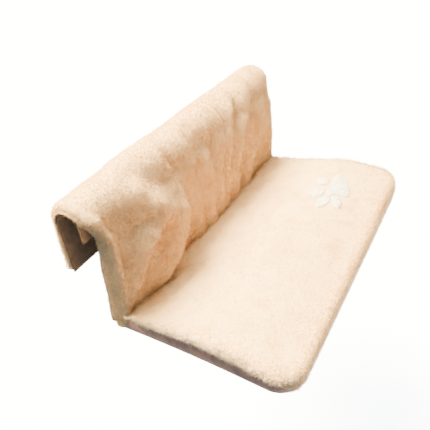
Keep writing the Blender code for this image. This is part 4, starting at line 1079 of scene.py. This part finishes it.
class PERCH_OT_bands(bpy.types.Operator):
    """Make the taupe bands round the seat, the cloth under it, the ties and the zip's tape"""

    bl_idname = "perch.bands"
    bl_label = "Bands and underside"

    def execute(self, context):
        sizes = context.scene.perch_sizes
        thick, taupe = sizes.cloth_thickness, finish_named("taupe_weave")
        for side, name in ((-1, "left"), (1, "right")):
            grid = band_grid(side, sizes)
            band = sheet_solid(f"side_band_{name}", grid, thick * side, taupe)
            ride_on(band, "seat_frame", "taupe_cloth", f"seat_side_band_{name}")
            tie = loop_solid(f"bar_tie_{name}", tie_rings(side), taupe)
            ride_on(tie, "seat_frame", "taupe_cloth", f"cover_tie_{name}")

        under = ring_solid("underside_cloth", underside_rings(), taupe)
        ride_on(under, "seat_frame", "taupe_cloth", "seat_underside")

        rear = sheet_solid("rear_band_cloth", rear_band_grid(), thick, taupe)
        ride_on(rear, "seat_frame", "taupe_cloth", "seat_rear_band")

        tape = sheet_solid("zip_tape_cloth", tape_grid(), 0.0004, finish_named("tape_weave"))
        ride_on(tape, "seat_frame", "zip_tape_cloth", "zip_tape")
        return {"FINISHED"}


class PERCH_OT_paw(bpy.types.Operator):
    """Make the white paw print's five plush patches"""

    bl_idname = "perch.paw"
    bl_label = "Paw print"

    def execute(self, context):
        for name, outline in zip(PAW_NAMES, paw_outlines()):
            rings = patch_rings(outline, context.scene.perch_sizes)
            patch = ring_solid(f"{name}_plush", rings, finish_named("white_pile"))
            ride_on(patch, "seat_frame", "white_plush", name)
        return {"FINISHED"}


class PERCH_OT_pile(bpy.types.Operator):
    """Make the pile: tufts on the cover, on the seat and on the paw print"""

    bl_idname = "perch.pile"
    bl_label = "Pile"

    def execute(self, context):
        sizes = context.scene.perch_sizes
        rng = np.random.default_rng(sizes.seed)
        cream, white, pale = (finish_named(name) for name in ("cream_tufts", "white_tufts", "pale_tufts"))

        def grow(name, grid, count, material, comb, long=0.7, wide=1.0, lie=PLAIN_LIE, weigh=None):
            """Tufts scattered over a grid, combed the way that comb gives at their places."""
            place, normal, down = scatter(grid, count, rng, weigh)
            size = (sizes.pile_length * long, sizes.pile_width * wide)
            return make_tufts(name, place, normal, comb(place, down), size, lie, rng, material)

        def closed(rings):
            """Rings with their first point once more at the end."""
            return np.concatenate([rings, rings[:, :1]], 1)

        def paw_comb(place, down):
            """A little forwards, and down the rings."""
            return down * 0.1 + (0.0, -0.25, 0.0)

        def seat_comb(place, down):
            """Forwards, turned and laid by a broad noise, as a hand that brushed over it leaves it."""
            brush = lumps(place, BRUSHED)[:, None]
            return np.array([0.15, -0.80, 0.0]) + np.array([0.55, 0.35, 0.0]) * brush + down * 0.10

        cover = cover_grid(sizes)
        for number in (1, 2):
            tufts = grow(f"cover_pile_{number}", cover, COVER_TUFTS, cream, lambda place, down: down * 0.55)
            stretch_over(tufts, "cream_plush")

        rings = closed(seat_rings(sizes)[:PILE_RINGS])
        tufts = grow("seat_pile", rings, SEAT_TUFTS, cream, seat_comb, 0.55, 1.0, SEAT_LIE, off_paw)
        ride_on(tufts, "seat_frame", "cream_plush")

        edge = rings[EDGE_RING:]
        row = np.arange(len(edge) - 1)[:, None]

        def on_edge(at):
            """More and more over the first rows, and none at the rear."""
            return np.clip(row / EDGE_ROWS, 0, 1) * (at[..., 1] < SEAT_REAR - 0.004)

        def on_lip(at):
            """The lower rows of the sides only, and less and less round the front corners."""
            at_side = np.abs(at[..., 0]) > HALF_SEAT - BEND
            off_front = 1.02 - wrap_share(at[..., 0], at[..., 1])
            return (row >= EDGE_ROWS) * (at[..., 1] < SEAT_REAR - 0.004) * off_front * at_side

        tufts = grow("seat_edge_pile", edge, EDGE_TUFTS, cream, lambda place, down: down * 0.6,
                     0.9, 1.0, EDGE_LIE, on_edge)
        ride_on(tufts, "seat_frame", "cream_plush")
        # Painted light: the lip's tufts take the paler finish, which stands in for light catching their
        # tips
        tufts = grow("seat_lip_pile", edge, LIP_TUFTS, pale, lambda place, down: down * 0.20,
                     1.5, 1.1, LIP_LIE, on_lip)
        ride_on(tufts, "seat_frame", "cream_plush")

        for name, outline in zip(PAW_NAMES, paw_outlines()):
            count = int(PAW_TUFTS * np.ptp(outline[:, 0]) * np.ptp(outline[:, 1]) / PAW_AREA)
            patch = closed(patch_rings(outline, sizes)[:PATCH_RINGS])
            tufts = grow(f"{name}_pile", patch, count, white, paw_comb)
            ride_on(tufts, "seat_frame", "white_plush")
        return {"FINISHED"}


class PERCH_OT_metal(bpy.types.Operator):
    """Give the steel, plastic, zinc and board parts their finishes"""

    bl_idname = "perch.metal"
    bl_label = "Hard parts"

    def execute(self, context):
        for node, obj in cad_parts.items():
            finish = next((finish for finish, starts in HARD_FINISHES if node.startswith(starts)), None)
            if finish:
                obj.data.materials.clear()
                obj.data.materials.append(finish_named(finish))
        return {"FINISHED"}


def axes_matrix(right, up, back, place):
    """The matrix of a light or camera from its three axes and its place."""
    matrix = Matrix(np.column_stack([right, up, back]).tolist()).to_4x4()
    matrix.translation = place
    return matrix


def look_at(place, target):
    """The matrix of a light at a place that faces a target."""
    back = unit(np.array(place, float) - np.array(target, float))
    right = unit(np.cross((0, 0, 1), back))
    return axes_matrix(right, np.cross(back, right), back, place)


def photo_view():
    """The camera's matrix: it looks back along its azimuth and elevation, turned by its roll."""
    azimuth, elevation, roll = (math.radians(v) for v in VIEW_ANGLES)
    level = math.cos(elevation)
    back = np.array([math.sin(azimuth) * level, -math.cos(azimuth) * level, math.sin(elevation)])
    right = unit(np.cross(-back, (0, 0, 1)))
    up = np.cross(right, -back)
    turned = right * math.cos(roll) + up * math.sin(roll)
    raised = -right * math.sin(roll) + up * math.cos(roll)
    return axes_matrix(turned, raised, back, VIEW_PLACE)


def add_light(name, kind, matrix, **fields):
    """A light that the camera doesn't see, with its fields set."""
    data = bpy.data.lights.new(name, kind)
    for key, value in fields.items():
        setattr(data, key, value)
    lamp = bpy.data.objects.new(name, data)
    bpy.context.scene.collection.objects.link(lamp)
    lamp.matrix_world = matrix
    lamp.visible_camera = False


def studio_world():
    """Even light from all round, a little stronger from below, before a plain white backdrop."""
    world = bpy.data.worlds.new("studio")
    world.use_nodes = True
    tree = world.node_tree
    way = tree.nodes.new("ShaderNodeTexCoord").outputs["Generated"]
    height = add(tree, "ShaderNodeSeparateXYZ", {0: way}).outputs["Z"]
    strength = add(tree, "ShaderNodeMapRange", {
        "Value": height, "From Min": -0.15, "From Max": 0.15, "To Min": 0.50, "To Max": 0.30})
    sky = tree.nodes["Background"]
    feed(tree, sky, {"Color": (0.80, 0.98, 1.14, 1), "Strength": strength.outputs["Result"]})
    backdrop = add(tree, "ShaderNodeBackground", {"Color": (1, 1, 0.99, 1), "Strength": 18.0})
    seen = tree.nodes.new("ShaderNodeLightPath").outputs["Is Camera Ray"]
    both = add(tree, "ShaderNodeMixShader", {0: seen, 1: sky.outputs[0], 2: backdrop.outputs[0]})
    feed(tree, tree.nodes["World Output"], {"Surface": both.outputs[0]})
    return world


class PERCH_OT_stage(bpy.types.Operator):
    """Make the pale floor, the soft lights and the camera"""

    bl_idname = "perch.stage"
    bl_label = "Stage"

    def execute(self, context):
        scene = context.scene
        mat, tree, shader, _ = nodes_of("pale_floor")
        feed(tree, shader, {
            "Base Color": (*scene.perch_colours.floor, 1), "Roughness": 0.9,
            "Emission Color": (0.9, 0.96, 1.0, 1), "Emission Strength": 9.0,
        })
        side = np.linspace(-FLOOR_HALF, FLOOR_HALF, 3)
        flat = np.stack(np.meshgrid(side, side), -1).reshape(-1, 2)
        floor = build("stage_floor", with_height(flat, FLOOR_LEVEL), quads(3, 3), mat)
        floor.visible_diffuse = floor.visible_glossy = False

        scene.world = studio_world()
        add_light("key", "SUN", look_at((0.0, 0.46, 1.0), (0, 0, 0)),
                  energy=40.0, angle=math.radians(30), color=(1.0, 0.765, 0.41))
        add_light("strip", "AREA", Matrix.Translation((0.0, 0.0, 0.42)),
                  shape="RECTANGLE", size=0.8, size_y=0.25, energy=10.0, color=(1.0, 0.81, 0.50))
        add_light("bounce", "AREA", look_at((0.10, -0.60, -0.46), (0.10, -0.27, -0.16)),
                  shape="RECTANGLE", size=0.65, size_y=0.25, energy=10.0, color=(1.0, 0.87, 0.70))

        data = bpy.data.cameras.new("photo_view")
        data.sensor_width = SENSOR
        data.lens = FOCAL_PIXELS / PICTURE_PIXELS * SENSOR
        data.clip_start, data.clip_end = 0.01, 50
        scene.camera = bpy.data.objects.new("photo_view", data)
        scene.collection.objects.link(scene.camera)
        scene.camera.matrix_world = photo_view()
        return {"FINISHED"}


class PERCH_PT_panel(bpy.types.Panel):
    """Lists the perch's pieces, sizes and colours"""

    bl_idname = "PERCH_PT_panel"
    bl_label = "Cat Perch"
    bl_space_type = "VIEW_3D"
    bl_region_type = "UI"
    bl_category = "Cat Perch"

    def draw(self, context):
        layout = self.layout
        for group in (context.scene.perch_sizes, context.scene.perch_colours):
            box = layout.box()
            for name in group.bl_rna.properties.keys():
                if name not in ("rna_type", "name"):
                    box.prop(group, name)
        for step in STEPS:
            layout.operator(step.bl_idname)


STEPS = (
    PERCH_OT_cover, PERCH_OT_seat, PERCH_OT_linings, PERCH_OT_wadding, PERCH_OT_bands, PERCH_OT_paw,
    PERCH_OT_pile, PERCH_OT_metal, PERCH_OT_stage,
)
CLASSES = (PerchSizes, PerchColours, *STEPS, PERCH_PT_panel)


def register():
    """Register the classes, and hang the sizes and the colours on the scene."""
    for cls in CLASSES:
        bpy.utils.register_class(cls)
    bpy.types.Scene.perch_sizes = PointerProperty(type=PerchSizes)
    bpy.types.Scene.perch_colours = PointerProperty(type=PerchColours)


def unregister():
    """Take away what register made."""
    del bpy.types.Scene.perch_colours
    del bpy.types.Scene.perch_sizes
    for cls in reversed(CLASSES):
        bpy.utils.unregister_class(cls)


def main():
    """Make every piece in order."""
    register()
    for step in STEPS:
        group, name = step.bl_idname.split(".")
        getattr(getattr(bpy.ops, group), name)()


if __name__ == "__main__":
    main()
